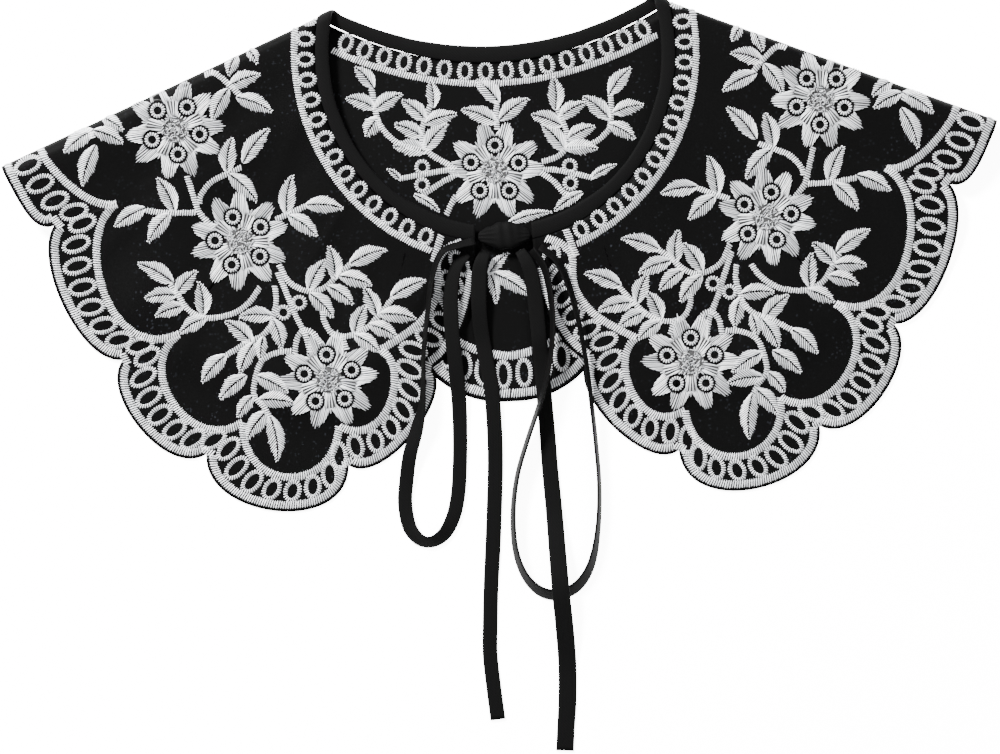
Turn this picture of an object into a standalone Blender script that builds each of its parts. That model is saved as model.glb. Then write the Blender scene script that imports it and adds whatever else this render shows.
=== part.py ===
"""Embroidered organza collar with a ribbon bow, laid flat on a table.

The collar is one C-shaped piece of cloth, folded along both shoulders. The back half lies on the table
with its right side down, and the two fronts lie on it with their right side up. X runs from left to
right as seen in the photograph, Y runs up the picture and Z up from the table. Plan sizes below are in
millimetres, with Y measured from the level of the two shoulder points of the neckline. They are moved to
the origin, which is on the table under the middle of the back, and turned to metres once, when a mesh is
made.
"""

import bpy
import bmesh
import math
import numpy as np
from mathutils import Vector
from mathutils.bvhtree import BVHTree

MM = 0.001
ORIGIN_Y = -95.0           # the part's origin, below the level of the shoulder points

# Cloth
WALL = 1.0                 # thickness of the embroidered organza
HALF_WALL = WALL / 2
SEAM_GAP = 0.3             # air kept between two pieces
RAIL_RISE = 0.5            # how far the satin-stitch rails stand proud of the front's right side
LAYER_REST = 2.1           # middle of the front cloth where it lies on the back layer

# Shoulder fold
SHOULDER_X = 73.6          # half the neck width, at the fold
FOLD_SLOPE = math.radians(22.6)
FOLD_LENGTH = 157.0        # from the neckline to the tip of the shoulder scallop
FOLD_RAIL = 138.0          # the inner rail's place along the fold
FOLD_REACH = (3.2, 5.4)    # how far the fold's round nose reaches, at the neck and at the tip
FOLD_RISE = (6.2, 9.2)     # height between the two layers at the fold, at the neck and at the tip
FOLD_RELAX = 27.0          # distance over which the front settles down beside the fold

# Neckline, along the middle of the binding
NECK_HALF_WIDTH = 76.0
NECK_DEPTH = 80.0
NECK_CENTRE_Y = -20.0
NECK_END_X = 12.4          # where the binding runs into the bow's knot
BACK_NECK_DROP = 20.6
NECK_LIFT = 2.2            # the stiff binding holds the front neck edge off the back layer
NECK_LIFT_REACH = 24.0

# Outer edge of the back layer, as one smooth oval that its scallops touch
BACK_OVAL = (231.0, 174.5)
SETTLE = (1.02, 1.11)      # the front comes down to the table between these multiples of that oval
LOOSE_FROM_FOLD = 30.0     # buckles reach their full height this far inside the fold
LOOSE_EDGE = (1.04, 1.14)  # and lose a share of it between these multiples of the oval
LOOSE_EDGE_LOSS = 0.75
RAIL_TURN = (-0.2, 0.6)    # the raised rails begin and end between these upward parts of the cloth's normal
SLOPE_PROBE = 0.5          # half the distance over which a slope is measured
BISECTIONS = 50

# Binding
BINDING_WIDTH = 7.3
BINDING_THICK = 2.0
BINDING_SHOULDER = 0.85    # width lost at each side where the binding's section rounds off

# Neck ladder and border band, as rows of the cloth's grid
NECK_ROWS = ((3.95, 0.0), (11.0, 0.0), (12.1, 1.0), (13.2, 0.0))        # offset, rise share
FIELD_ROWS = (0.27, 0.52, 0.77)                                         # share of the plain field
BAND_ROWS = ((-0.075, 0.0), (0.0, 1.0), (0.075, 0.0),
             (0.78, 0.0), (0.857, 1.0), (0.935, 0.0), (1.0, 0.0))       # share of band width, rise share

FOLD_STEPS = 6

# One row for each scallop of a front, from the shoulder fold to the bow: the notch and the inner rail's
# cusp where it ends, the two bulges that shape its edge and its rail as a cubic curve, given as
# (along, outwards) from each end of the chord, how much of the neckline its ribs reach, and its columns.
FRONT_SCALLOPS = (
    # notch            cusp              edge start    edge end       rail start    rail end      neck  n
    ((195.4, -85.8),   (168.8, -78.7),   (11.0, 4.0),  (-2.0, 12.0),  (12.0, 5.0),  (-6.0, 8.0),  0.13, 4),
    ((169.8, -147.4),  (144.2, -137.1),  (6.0, 17.5),  (-6.0, 18.5),  (4.0, 25.0),  (0.0, 34.0),  0.32, 7),
    ((135.0, -190.5),  (118.3, -177.1),  (3.0, 18.0),  (-3.0, 20.5),  (0.0, 27.0),  (0.0, 27.0),  0.47, 6),
    ((72.6, -198.4),   (76.2, -180.8),   (0.0, 28.0),  (2.0, 32.0),   (0.0, 31.3),  (0.0, 31.3),  0.62, 7),
    ((33.9, -157.0),   (56.2, -148.2),   (2.0, 17.0),  (-4.0, 17.0),  (0.0, 24.0),  (0.0, 16.0),  0.77, 6),
    ((12.0, -116.0),   (13.0, -114.6),   (14.0, 9.0),  (-12.0, 3.0),  (20.3, 3.5),  (-13.1, -5.9), 1.0, 7),
)

# The same for half of the back, from the shoulder fold to the centre line. The last scallop is a half.
BACK_SCALLOPS = (
    ((195.4, -85.8),   (168.8, -78.7),   (11.0, 4.0),  (-2.0, 12.0),  (12.0, 5.0),  (-6.0, 8.0),  0.18, 3),
    ((147.0, -116.5),  (131.0, -100.5),  (3.0, 18.0),  (-3.0, 18.0),  (0.0, 23.0),  (0.0, 23.0),  0.42, 5),
    ((92.0, -145.5),   (83.0, -125.0),   (3.0, 18.0),  (-3.0, 18.0),  (0.0, 23.0),  (0.0, 23.0),  0.64, 5),
    ((35.5, -158.5),   (33.0, -136.5),   (3.0, 18.0),  (-3.0, 18.0),  (0.0, 23.0),  (0.0, 23.0),  0.83, 5),
    ((0.0, -173.5),    (0.0, -153.5),    (12.4, 6.1),  (-12.4, 6.1),  (12.5, 5.0),  (-12.5, 5.0), 1.0, 4),
)

# Soft buckles of the fronts: place, direction of the ridge, half length, half width, height
BUCKLES = (
    # x        y       degrees  length  width  height
    (118.0,   -72.0,   -38.0,   46.0,   13.0,  1.5),
    (150.0,  -108.0,   -62.0,   30.0,   11.0,  1.1),
    (70.0,   -122.0,   -78.0,   38.0,   12.0,  1.3),
    (110.0,  -160.0,  -104.0,   30.0,   15.0,  1.7),
    (46.0,   -140.0,   -60.0,   24.0,    9.0,  0.8),
    (184.0,   -92.0,   -30.0,   22.0,   10.0,  1.2),
    (-124.0,  -66.0,  -146.0,   52.0,   12.0,  1.2),
    (-158.0, -118.0,  -118.0,   34.0,   14.0,  1.6),
    (-86.0,  -108.0,  -100.0,   30.0,   10.0,  1.0),
    (-104.0, -172.0,   -84.0,   28.0,   16.0,  1.5),
    (-58.0,  -150.0,  -128.0,   26.0,   10.0,  1.1),
    (-190.0,  -80.0,  -170.0,   24.0,   11.0,  0.9),
)

# Bow
KNOT_CENTRE = (0.3, -100.6, 4.6)
KNOT_HALF = (11.6, 6.2, 3.0)
KNOT_BOX = 3.2             # exponent of the rounded box: 2 is an ellipsoid
KNOT_PLEATS = 5
KNOT_PLEAT_DEPTH = 0.09
KNOT_STEPS = (28, 12)      # round it and down it
TAPE_THICK = 1.1
TAPE_STEP = 5.0            # spacing of the ring sections along a tape
TAPE_ROUND = 0.35          # width lost at each side by the rounded edge, as a share of the thickness
ROUTE_STEPS = 12           # points between two rows of a route, before it is spaced evenly

# Tape routes from the knot: x, y, height of the middle, width, and tilt of the width from level in degrees
TIE_END_LEFT = (
    (-8.0, -107.0, 5.0, 4.6, 8.0), (-10.2, -111.5, 6.0, 6.0, 4.0), (-11.6, -118.0, 5.6, 6.8, 0.0),
    (-12.2, -130.0, 4.9, 6.8, 0.0), (-12.0, -139.0, 3.4, 6.8, 0.0), (-11.2, -147.0, 2.2, 6.8, 0.0),
    (-9.9, -157.0, 2.0, 6.8, 0.0), (-8.4, -168.0, 2.0, 6.8, 0.0), (-7.9, -186.0, 1.5, 6.8, 0.0),
    (-8.3, -202.0, 0.7, 6.8, 0.0), (-9.6, -220.0, 0.6, 6.8, 0.0), (-11.0, -237.0, 0.6, 6.8, 0.0),
    (-12.6, -254.0, 0.6, 6.6, 0.0), (-13.7, -270.0, 0.6, 6.6, 0.0), (-14.4, -284.0, 0.6, 6.6, 0.0),
    (-13.5, -299.0, 0.6, 6.6, 0.0), (-12.3, -313.0, 0.6, 6.6, 0.0),
)
TIE_END_RIGHT = (
    (6.8, -107.5, 5.0, 4.6, -8.0), (9.6, -112.9, 6.0, 6.0, -4.0), (11.4, -118.5, 5.7, 6.6, 0.0),
    (12.6, -130.0, 4.9, 6.8, 0.0), (13.2, -140.0, 4.4, 6.8, 0.0), (13.5, -147.0, 4.0, 6.8, 0.0),
    (13.8, -154.0, 2.6, 6.8, 0.0), (14.1, -161.0, 1.9, 6.8, 0.0), (14.6, -172.0, 1.9, 6.8, 0.0),
    (15.2, -187.0, 1.3, 7.0, 0.0), (15.7, -204.0, 0.8, 7.2, 0.0), (16.6, -222.0, 1.5, 7.4, 0.0),
    (17.2, -240.0, 5.0, 7.6, 0.0), (17.8, -257.0, 7.9, 7.8, 0.0), (18.8, -274.0, 4.6, 8.0, 0.0),
    (19.3, -290.0, 1.1, 8.0, 0.0), (18.6, -306.0, 0.6, 8.0, 0.0), (17.4, -318.0, 0.6, 7.8, 0.0),
    (16.5, -328.0, 0.6, 7.8, 0.0),
)
LOOP_LEFT = (
    (-12.7, -102.6, 7.6, 4.4, 40.0), (-20.0, -104.0, 8.6, 5.4, 58.0), (-27.2, -106.6, 8.9, 6.0, 66.0),
    (-31.8, -116.0, 8.7, 6.2, 70.0), (-34.7, -132.0, 8.3, 6.4, 74.0), (-37.4, -150.0, 7.6, 6.4, 76.0),
    (-38.0, -160.0, 7.2, 6.4, 76.0), (-39.1, -173.0, 6.4, 6.4, 64.0), (-42.0, -184.0, 4.6, 6.4, 28.0),
    (-45.6, -195.0, 3.2, 6.4, 10.0), (-47.6, -206.0, 1.4, 6.4, 2.0), (-48.7, -216.0, 1.1, 6.4, 0.0),
    (-47.4, -226.0, 1.4, 6.4, 10.0), (-44.0, -231.4, 2.4, 6.4, 28.0), (-39.8, -233.6, 2.9, 6.4, 40.0),
    (-35.2, -232.6, 2.6, 6.4, 32.0), (-31.0, -229.0, 1.8, 6.4, 16.0), (-27.4, -222.0, 1.2, 6.4, 4.0),
    (-25.2, -213.0, 1.0, 6.4, 0.0), (-24.0, -202.0, 1.0, 6.4, 0.0), (-23.2, -189.0, 1.3, 6.4, 0.0),
    (-22.9, -174.0, 2.2, 6.6, 0.0), (-23.6, -158.0, 4.4, 6.6, 0.0), (-24.6, -142.0, 5.6, 6.6, -4.0),
    (-24.4, -126.0, 6.2, 6.6, -8.0), (-21.6, -114.0, 6.6, 5.6, -12.0), (-16.4, -107.8, 6.7, 4.4, -14.0),
)
LOOP_RIGHT = (
    (12.0, -107.4, 7.5, 4.2, 52.0), (17.0, -115.5, 8.2, 5.6, 62.0), (19.2, -127.0, 8.2, 6.4, 70.0),
    (19.7, -140.0, 8.3, 6.6, 74.0), (18.4, -152.5, 8.2, 6.6, 76.0), (15.8, -164.0, 8.0, 6.6, 76.0),
    (12.0, -176.0, 7.4, 6.6, 76.0), (6.4, -190.5, 5.6, 6.6, 76.0), (1.2, -206.0, 4.1, 6.6, 76.0),
    (-1.4, -222.0, 3.7, 6.6, 74.0), (-1.2, -238.0, 3.6, 6.6, 70.0), (2.4, -250.0, 3.3, 6.6, 62.0),
    (9.0, -257.4, 2.8, 6.8, 50.0), (17.0, -259.2, 2.6, 6.8, 44.0), (25.6, -255.6, 2.8, 6.8, 48.0),
    (32.0, -246.0, 3.2, 6.8, 60.0), (35.6, -230.0, 3.6, 6.6, 72.0), (36.9, -212.0, 3.8, 6.6, 76.0),
    (36.3, -194.0, 4.6, 6.6, 76.0), (35.1, -176.0, 7.0, 6.6, 76.0), (33.6, -158.0, 8.4, 6.6, 76.0),
    (31.4, -142.0, 8.5, 6.6, 74.0), (28.4, -127.0, 8.4, 6.4, 68.0), (23.4, -113.6, 8.2, 5.4, 58.0),
    (15.6, -106.4, 8.9, 4.2, 46.0),
)

# Embroidered flowers: place, and the angle of the first of their eyelets
FLOWERS = (
    ("flower_right_shoulder", 141.7, -47.5, 50.0),
    ("flower_right_middle", 115.7, -97.7, 4.0),
    ("flower_right_hem", 79.7, -160.3, 16.0),
    ("flower_left_shoulder", -141.7, -47.5, 130.0),
    ("flower_left_middle", -115.7, -97.7, 176.0),
    ("flower_left_hem", -79.7, -160.3, 20.0),
    ("flower_back", -2.5, -71.7, 15.0),
)
FLOWER_PAIRS = 5           # its ten petals stand in pairs, one pair beyond each eyelet
# Outline of one pair of petals, as angle from its eyelet and radius
PETAL_PAIR = (
    (-36.0, 14.8), (-26.0, 18.8), (-15.5, 21.5), (-8.0, 19.8),
    (0.0, 17.2), (8.0, 19.8), (15.5, 21.5), (26.0, 18.8),
)
FLOWER_HEART = 6.0
FLOWER_RINGS = ((0.0, 1.5), (0.64, 0.9), (1.0, 0.7))    # share of the way from heart to outline, thickness
PETAL_GAP = 0.6            # air at a petal's points: its flat faces cut across what it rides over
FLOWER_MARGIN = 2.8        # a petal rides over whatever cloth or rail lies this near to its points
FLOWER_FROM_FOLD = 7.0     # petals that would turn over the shoulder fold are cut short at this distance
ABOVE_ALL = 50.0

BLACK_ORGANZA = (0.008, 0.008, 0.009, 1.0)
BLACK_BINDING = (0.012, 0.012, 0.013, 1.0)
SILVER_THREAD = (0.72, 0.72, 0.73, 1.0)


def unit(v):
    """Length-one vectors along the last axis."""
    return v / np.maximum(np.linalg.norm(v, axis=-1, keepdims=True), 1e-9)


def smooth(x, low, high):
    """0 below low, 1 above high, and a smooth S between them."""
    q = np.clip((x - low) / (high - low), 0.0, 1.0)
    return q * q * (3 - 2 * q)


ALONG = np.array([math.cos(FOLD_SLOPE), -math.sin(FOLD_SLOPE)])      # along the right fold, outwards
INWARD = np.array([-math.sin(FOLD_SLOPE), -math.cos(FOLD_SLOPE)])    # from the fold into the panel
SHOULDER = np.array([SHOULDER_X, 0.0])


def fold_place(s, d):
    """Plan point at distance s along the right fold and d inside it."""
    return SHOULDER + np.multiply.outer(s, ALONG) + np.multiply.outer(d, INWARD)


def fold_value(pair, s):
    """A size that changes evenly along the fold from the neck to the tip."""
    share = np.clip(s / FOLD_LENGTH, 0.0, 1.0)
    return pair[0] + (pair[1] - pair[0]) * share


def front_neck(t):
    """Front neckline: a quarter oval, from angle t below the horizontal."""
    return np.stack([NECK_HALF_WIDTH * np.cos(t), NECK_CENTRE_Y - NECK_DEPTH * np.sin(t)], axis=-1)


def back_neck(x):
    """Back neckline: a shallow parabola between the two shoulder points."""
    x = np.asarray(x, dtype=float)
    return np.stack([x, -BACK_NECK_DROP * (1 - (x / SHOULDER_X) ** 2)], axis=-1)


def solve(curve, low, high):
    """Parameter where a curve lies just inside the fold, on the fold's first or last rib, by bisection."""
    def excess(q):
        rel = curve(q) - SHOULDER
        return rel @ INWARD - fold_value(FOLD_REACH, rel @ ALONG)
    for _ in range(BISECTIONS):
        middle = (low + high) / 2
        if excess(middle) < 0:
            low = middle
        else:
            high = middle
    return (low + high) / 2


def buckles(x, y):
    """Height of the soft buckles: each is a long round hump."""
    total = np.zeros_like(x)
    for bx, by, degrees, length, width, height in BUCKLES:
        angle = math.radians(degrees)
        u = (x - bx) * math.cos(angle) + (y - by) * math.sin(angle)
        v = -(x - bx) * math.sin(angle) + (y - by) * math.cos(angle)
        total += height * np.exp(-(u / length) ** 2 - (v / width) ** 2)
    return total


def front_height(x, y):
    """Height of the middle of a front's cloth.

    It rests on the back layer, or on the table beyond that layer's edge. Beside the shoulder fold it
    stands higher and settles with distance, the binding lifts its neck edge, and buckles are added.
    """
    ax = np.abs(x)
    rel = np.stack([ax, y], axis=-1) - SHOULDER
    s, d = rel @ ALONG, rel @ INWARD
    inside = np.maximum(d - fold_value(FOLD_REACH, s), 0.0)
    oval = np.hypot(ax / BACK_OVAL[0], y / BACK_OVAL[1])
    rest = LAYER_REST + (HALF_WALL - LAYER_REST) * smooth(oval, *SETTLE)
    crest = HALF_WALL + fold_value(FOLD_RISE, s)
    fold_share = 1 / (1 + (inside / FOLD_RELAX) ** 2)
    from_neck = (np.hypot(ax / NECK_HALF_WIDTH, (y - NECK_CENTRE_Y) / NECK_DEPTH) - 1) * NECK_DEPTH
    neck = NECK_LIFT * np.exp(-(np.maximum(from_neck, 0) / NECK_LIFT_REACH) ** 2)
    loose = smooth(inside, 0.0, LOOSE_FROM_FOLD) * (1 - smooth(oval, *LOOSE_EDGE) * LOOSE_EDGE_LOSS)
    return rest + (crest - rest) * fold_share + neck * (1 - fold_share) + buckles(x, y) * loose


def front_normal(x, y):
    """Upward normal of the front's cloth, from its slope."""
    h = SLOPE_PROBE
    slope_x = (front_height(x + h, y) - front_height(x - h, y)) / (2 * h)
    slope_y = (front_height(x, y + h) - front_height(x, y - h)) / (2 * h)
    return unit(np.stack([-slope_x, -slope_y, np.ones_like(slope_x)], axis=-1))


def bulge(start, end, from_start, from_end, t):
    """Cubic curve over a chord, with its two handles given as (along, outwards) from the chord's ends."""
    chord = unit(end - start)
    outwards = np.array([chord[1], -chord[0]])
    if outwards @ (start + end) < 0 or outwards[1] > 0.9:
        outwards = -outwards
    p1 = start + from_start[0] * chord + from_start[1] * outwards
    p2 = end + from_end[0] * chord + from_end[1] * outwards
    t = t[:, None]
    return (1 - t) ** 3 * start + 3 * (1 - t) ** 2 * t * p1 + 3 * (1 - t) * t * t * p2 + t ** 3 * end


def scalloped(table, first_edge, first_rail):
    """Edge points, rail points and neck shares of every column, from the fold to the last scallop's end."""
    edge, rail, share = [first_edge[None]], [first_rail[None]], [np.zeros(1)]
    start_edge, start_rail, start_share = first_edge, first_rail, 0.0
    for notch, cusp, edge_start, edge_end, rail_start, rail_end, neck_share, columns in table:
        t = np.arange(1, columns + 1) / columns
        end_edge, end_rail = np.array(notch), np.array(cusp)
        edge.append(bulge(start_edge, end_edge, edge_start, edge_end, t))
        rail.append(bulge(start_rail, end_rail, rail_start, rail_end, t))
        share.append(start_share + (neck_share - start_share) * t)
        start_edge, start_rail, start_share = end_edge, end_rail, neck_share
    return np.concatenate(edge), np.concatenate(rail), np.concatenate(share)


def rib_rows(neck, tangent, rail, edge):
    """Plan points along each rib: the neck rows, the plain field's rows and the border band's rows."""
    rib = unit(rail - neck)
    lean = np.abs(rib[:, 0] * tangent[:, 1] - rib[:, 1] * tangent[:, 0])[:, None]
    rows = [neck + rib * offset / lean for offset, _ in NECK_ROWS]
    inner = rail + (edge - rail) * BAND_ROWS[0][0]
    rows += [rows[-1] + (inner - rows[-1]) * share for share in FIELD_ROWS]
    rows += [rail + (edge - rail) * share for share, _ in BAND_ROWS]
    half = rib * BINDING_WIDTH / 2 / lean
    strip = np.stack([neck - half, neck + half], axis=1)
    return np.stack(rows, axis=1), strip


def panel(table, curve, slope, start, finish):
    """Plan of one half panel: its cloth rows and the two edges of its binding, column by column."""
    first_edge = fold_place(FOLD_LENGTH, FOLD_REACH[1])
    first_rail = fold_place(FOLD_RAIL, fold_value(FOLD_REACH, FOLD_RAIL))
    edge, rail, share = scalloped(table, first_edge, first_rail)
    place = start + (finish - start) * share
    return rib_rows(curve(place), unit(slope(place)), rail, edge)


def neck_slopes():
    """Direction functions of the front and back necklines."""
    def front(t):
        return np.stack([-NECK_HALF_WIDTH * np.sin(t), -NECK_DEPTH * np.cos(t)], axis=-1)

    def back(x):
        return np.stack([np.ones_like(x), 2 * BACK_NECK_DROP * x / SHOULDER_X ** 2], axis=-1)
    return front, back


def plan_panels():
    """Plan of the right front and of the right half of the back, each as (cloth rows, binding edges)."""
    front_slope, back_slope = neck_slopes()
    t_fold = solve(front_neck, math.radians(-14.4), math.radians(20.0))
    t_end = math.acos(NECK_END_X / NECK_HALF_WIDTH)
    x_fold = solve(back_neck, SHOULDER_X, SHOULDER_X - 20.0)
    front = panel(FRONT_SCALLOPS, front_neck, front_slope, t_fold, t_end)
    back = panel(BACK_SCALLOPS, back_neck, back_slope, x_fold, 0.0)
    return front, back


def half_ring(front, back, floor, side):
    """Middle points and outward normals of half the collar, from the centre of the back to the bow.

    The back lies level at the floor height with its right side down. Round the shoulder fold the points
    follow half an oval, and the front follows its own height. side is 1 for the right half, -1 for the left.
    """
    back = back[::-1]
    theta = (math.pi * np.arange(1, FOLD_STEPS) / FOLD_STEPS)[:, None]
    s_back, s_front = (back[-1] - SHOULDER) @ ALONG, (front[0] - SHOULDER) @ ALONG
    s = s_back + (s_front - s_back) * theta / math.pi
    nose = fold_place(s, 0.0) + (fold_value(FOLD_REACH, s) * (1 - np.sin(theta)))[..., None] * INWARD
    top = front_height(side * front[..., 0], front[..., 1])
    nose_top = floor + (top[0] - floor) * (1 - np.cos(theta)) / 2
    plan = np.concatenate([back, nose, front])
    height = np.concatenate([np.full(back.shape[:2], floor), nose_top, top])
    down = np.zeros(back.shape[:2] + (3,))
    down[..., 2] = -1
    nose_normal = np.concatenate([np.sin(theta)[..., None] * -INWARD + 0 * nose,
                                  (0 * s - np.cos(theta))[..., None]], axis=-1)
    up = front_normal(side * front[..., 0], front[..., 1]) * (side, 1, 1)
    normal = np.concatenate([down, nose_normal, up])
    points = np.concatenate([plan, height[..., None]], axis=-1)
    return points * (side, 1, 1), normal * (side, 1, 1)


def full_ring(front, back, floor):
    """Middle points and normals of the whole collar, from the left front's edge to the right front's."""
    left = half_ring(front, back, floor, -1)
    right = half_ring(front, back, floor, 1)
    return tuple(np.concatenate([a[:0:-1], b]) for a, b in zip(left, right))


def add_object(name, vertices, faces, colour, roughness, smooth_angle=math.radians(50)):
    """A named object with its own cloth or thread material. Vertices are given in millimetres."""
    mesh = bpy.data.meshes.new(name)
    placed = (np.asarray(vertices) - (0.0, ORIGIN_Y, 0.0)) * MM
    mesh.from_pydata([tuple(v) for v in placed], [], faces)
    work = bmesh.new()
    work.from_mesh(mesh)
    bmesh.ops.recalc_face_normals(work, faces=work.faces)
    work.to_mesh(mesh)
    work.free()
    mesh.shade_smooth()
    mesh.set_sharp_from_angle(angle=smooth_angle)
    material = bpy.data.materials.new(name)
    material.use_nodes = True
    shader = material.node_tree.nodes["Principled BSDF"]
    shader.inputs["Base Color"].default_value = colour
    shader.inputs["Roughness"].default_value = roughness
    shader.inputs["Metallic"].default_value = 0.0
    mesh.materials.append(material)
    made = bpy.data.objects.new(name, mesh)
    bpy.context.scene.collection.objects.link(made)
    return made


def grid_faces(columns, rows, start, flip):
    """Quads of a grid whose vertices run row by row in each column, from vertex number start."""
    faces = []
    for c in range(columns - 1):
        for r in range(rows - 1):
            a = start + c * rows + r
            quad = (a, a + rows, a + rows + 1, a + 1)
            faces.append(quad[::-1] if flip else quad)
    return faces


def wall(outer, inner):
    """Closed wall between an outer and an inner grid of points."""
    columns, rows = outer.shape[:2]
    count = columns * rows
    faces = grid_faces(columns, rows, 0, False) + grid_faces(columns, rows, count, True)
    border = [c * rows for c in range(columns)]
    border += [(columns - 1) * rows + r for r in range(1, rows)]
    border += [c * rows + rows - 1 for c in range(columns - 2, -1, -1)]
    border += [r for r in range(rows - 2, 0, -1)]
    for a, b in zip(border, border[1:] + border[:1]):
        faces.append((a, b, b + count, a + count))
    return np.concatenate([outer.reshape(-1, 3), inner.reshape(-1, 3)]), faces


def tube(rings):
    """Closed tube through rings of equal length, with flat ends."""
    count, sides = rings.shape[:2]
    faces = [tuple(range(sides)), tuple((count - 1) * sides + k for k in range(sides - 1, -1, -1))]
    for c in range(count - 1):
        for k in range(sides):
            a, b = c * sides + k, c * sides + (k + 1) % sides
            faces.append((a, a + sides, b + sides, b))
    return rings.reshape(-1, 3), faces


def make_collar(front, back):
    """The cloth: one C-shaped wall, with satin rails raised on the right side of its fronts."""
    middle, normal = full_ring(front, back, HALF_WALL)
    rise = [row[1] for row in NECK_ROWS] + [0.0] * len(FIELD_ROWS) + [row[1] for row in BAND_ROWS]
    turned = smooth(normal[..., 2], *RAIL_TURN)
    outer = middle + normal * (HALF_WALL + RAIL_RISE * np.array(rise) * turned)[..., None]
    inner = middle - normal * HALF_WALL
    outer[..., 2] = np.maximum(outer[..., 2], 0.0)
    inner[..., 2] = np.maximum(inner[..., 2], 0.0)
    vertices, faces = wall(outer, inner)
    add_object("collar_body", vertices, faces, BLACK_ORGANZA, 0.45)
    return BVHTree.FromPolygons([Vector(v) for v in vertices], faces)


def make_binding(front_strip, back_strip):
    """The bias binding round the neckline: a flat strip with rounded sides."""
    middle, normal = full_ring(front_strip, back_strip, BINDING_THICK / 2)
    across = unit(middle[:, 1] - middle[:, 0])
    shoulder = across * BINDING_SHOULDER
    lift = unit(normal.mean(axis=1)) * BINDING_THICK / 2
    near, far = middle[:, 0], middle[:, 1]
    section = [near, near + shoulder + lift, far - shoulder + lift,
               far, far - shoulder - lift, near + shoulder - lift]
    rings = np.stack(section, axis=1)
    rings[..., 2] = np.maximum(rings[..., 2], 0.0)
    vertices, faces = tube(rings)
    return add_object("neck_binding", vertices, faces, BLACK_BINDING, 0.7)


def smooth_route(route):
    """Even sections along a smooth curve through the route's rows, with all of its columns."""
    rows = np.array(route)
    before = np.concatenate([[2 * rows[0] - rows[1]], rows, [2 * rows[-1] - rows[-2]]])
    fine = []
    for k in range(len(rows) - 1):
        p0, p1, p2, p3 = before[k:k + 4]
        t = np.linspace(0, 1, ROUTE_STEPS, endpoint=False)[:, None]
        fine.append(0.5 * (2 * p1 + (p2 - p0) * t + (2 * p0 - 5 * p1 + 4 * p2 - p3) * t * t
                           + (3 * p1 - p0 - 3 * p2 + p3) * t ** 3))
    fine = np.concatenate(fine + [rows[-1:]])
    length = np.concatenate([[0], np.cumsum(np.linalg.norm(np.diff(fine[:, :3], axis=0), axis=1))])
    stations = np.linspace(0, length[-1], int(round(length[-1] / TAPE_STEP)) + 1)
    return np.stack([np.interp(stations, length, fine[:, k]) for k in range(fine.shape[1])], axis=1)


def make_tape(name, route):
    """A flat tie along its route: its width turns from level by the tilt column."""
    rows = smooth_route(route)
    centre, width, tilt = rows[:, :3], rows[:, 3:4] / 2, np.radians(rows[:, 4:5])
    along = unit(np.gradient(centre, axis=0))
    level = unit(np.cross((0.0, 0.0, 1.0), along))
    upright = np.cross(along, level)
    across = level * np.cos(tilt) + upright * np.sin(tilt)
    thick = np.cross(along, across) * TAPE_THICK / 2
    edge = width - TAPE_THICK * TAPE_ROUND
    section = [across * width, across * edge + thick, -across * edge + thick,
               -across * width, -across * edge - thick, across * edge - thick]
    rings = centre[:, None] + np.stack(section, axis=1)
    vertices, faces = tube(rings)
    return add_object(name, vertices, faces, BLACK_BINDING, 0.7)


def make_knot():
    """The bow's knot: a rounded box with shallow pleats across its front, where the tape is gathered."""
    around, down = KNOT_STEPS
    u = 2 * math.pi * np.arange(around) / around
    v = math.pi * np.arange(1, down) / down
    direction = np.stack([np.outer(np.sin(v), np.cos(u)), np.outer(np.sin(v), np.sin(u)),
                          np.outer(np.cos(v), np.ones(around))], axis=-1)
    size = (np.abs(direction) ** KNOT_BOX).sum(axis=-1) ** (-1 / KNOT_BOX)
    shape = direction * size[..., None]
    pleat = 1 - KNOT_PLEAT_DEPTH * (0.5 + 0.5 * np.cos(shape[..., 0] * math.pi * KNOT_PLEATS))
    shape[..., 2] *= pleat
    points = np.array(KNOT_CENTRE) + shape * KNOT_HALF
    top = np.array(KNOT_CENTRE) + (0, 0, KNOT_HALF[2] * (1 - KNOT_PLEAT_DEPTH))
    bottom = np.array(KNOT_CENTRE) - (0, 0, KNOT_HALF[2] * (1 - KNOT_PLEAT_DEPTH))
    vertices = np.concatenate([[top], points.reshape(-1, 3), [bottom]])
    faces = []
    for k in range(around):
        n = (k + 1) % around
        faces.append((0, 1 + k, 1 + n))
        for r in range(down - 2):
            a, b = 1 + r * around + k, 1 + r * around + n
            faces.append((a, a + around, b + around, b))
        last = 1 + (down - 2) * around
        faces.append((len(vertices) - 1, last + n, last + k))
    return add_object("bow_knot", vertices, faces, BLACK_BINDING, 0.7)


def cloth_top(cloth, x, y):
    """Height of the highest cloth within a petal's margin of a plan point."""
    found = []
    for dx, dy in ((0, 0), (1, 0), (-1, 0), (0, 1), (0, -1)):
        start = Vector((x + dx * FLOWER_MARGIN, y + dy * FLOWER_MARGIN, ABOVE_ALL))
        found.append(cloth.ray_cast(start, Vector((0, 0, -1)))[0].z)
    return max(found)


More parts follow.
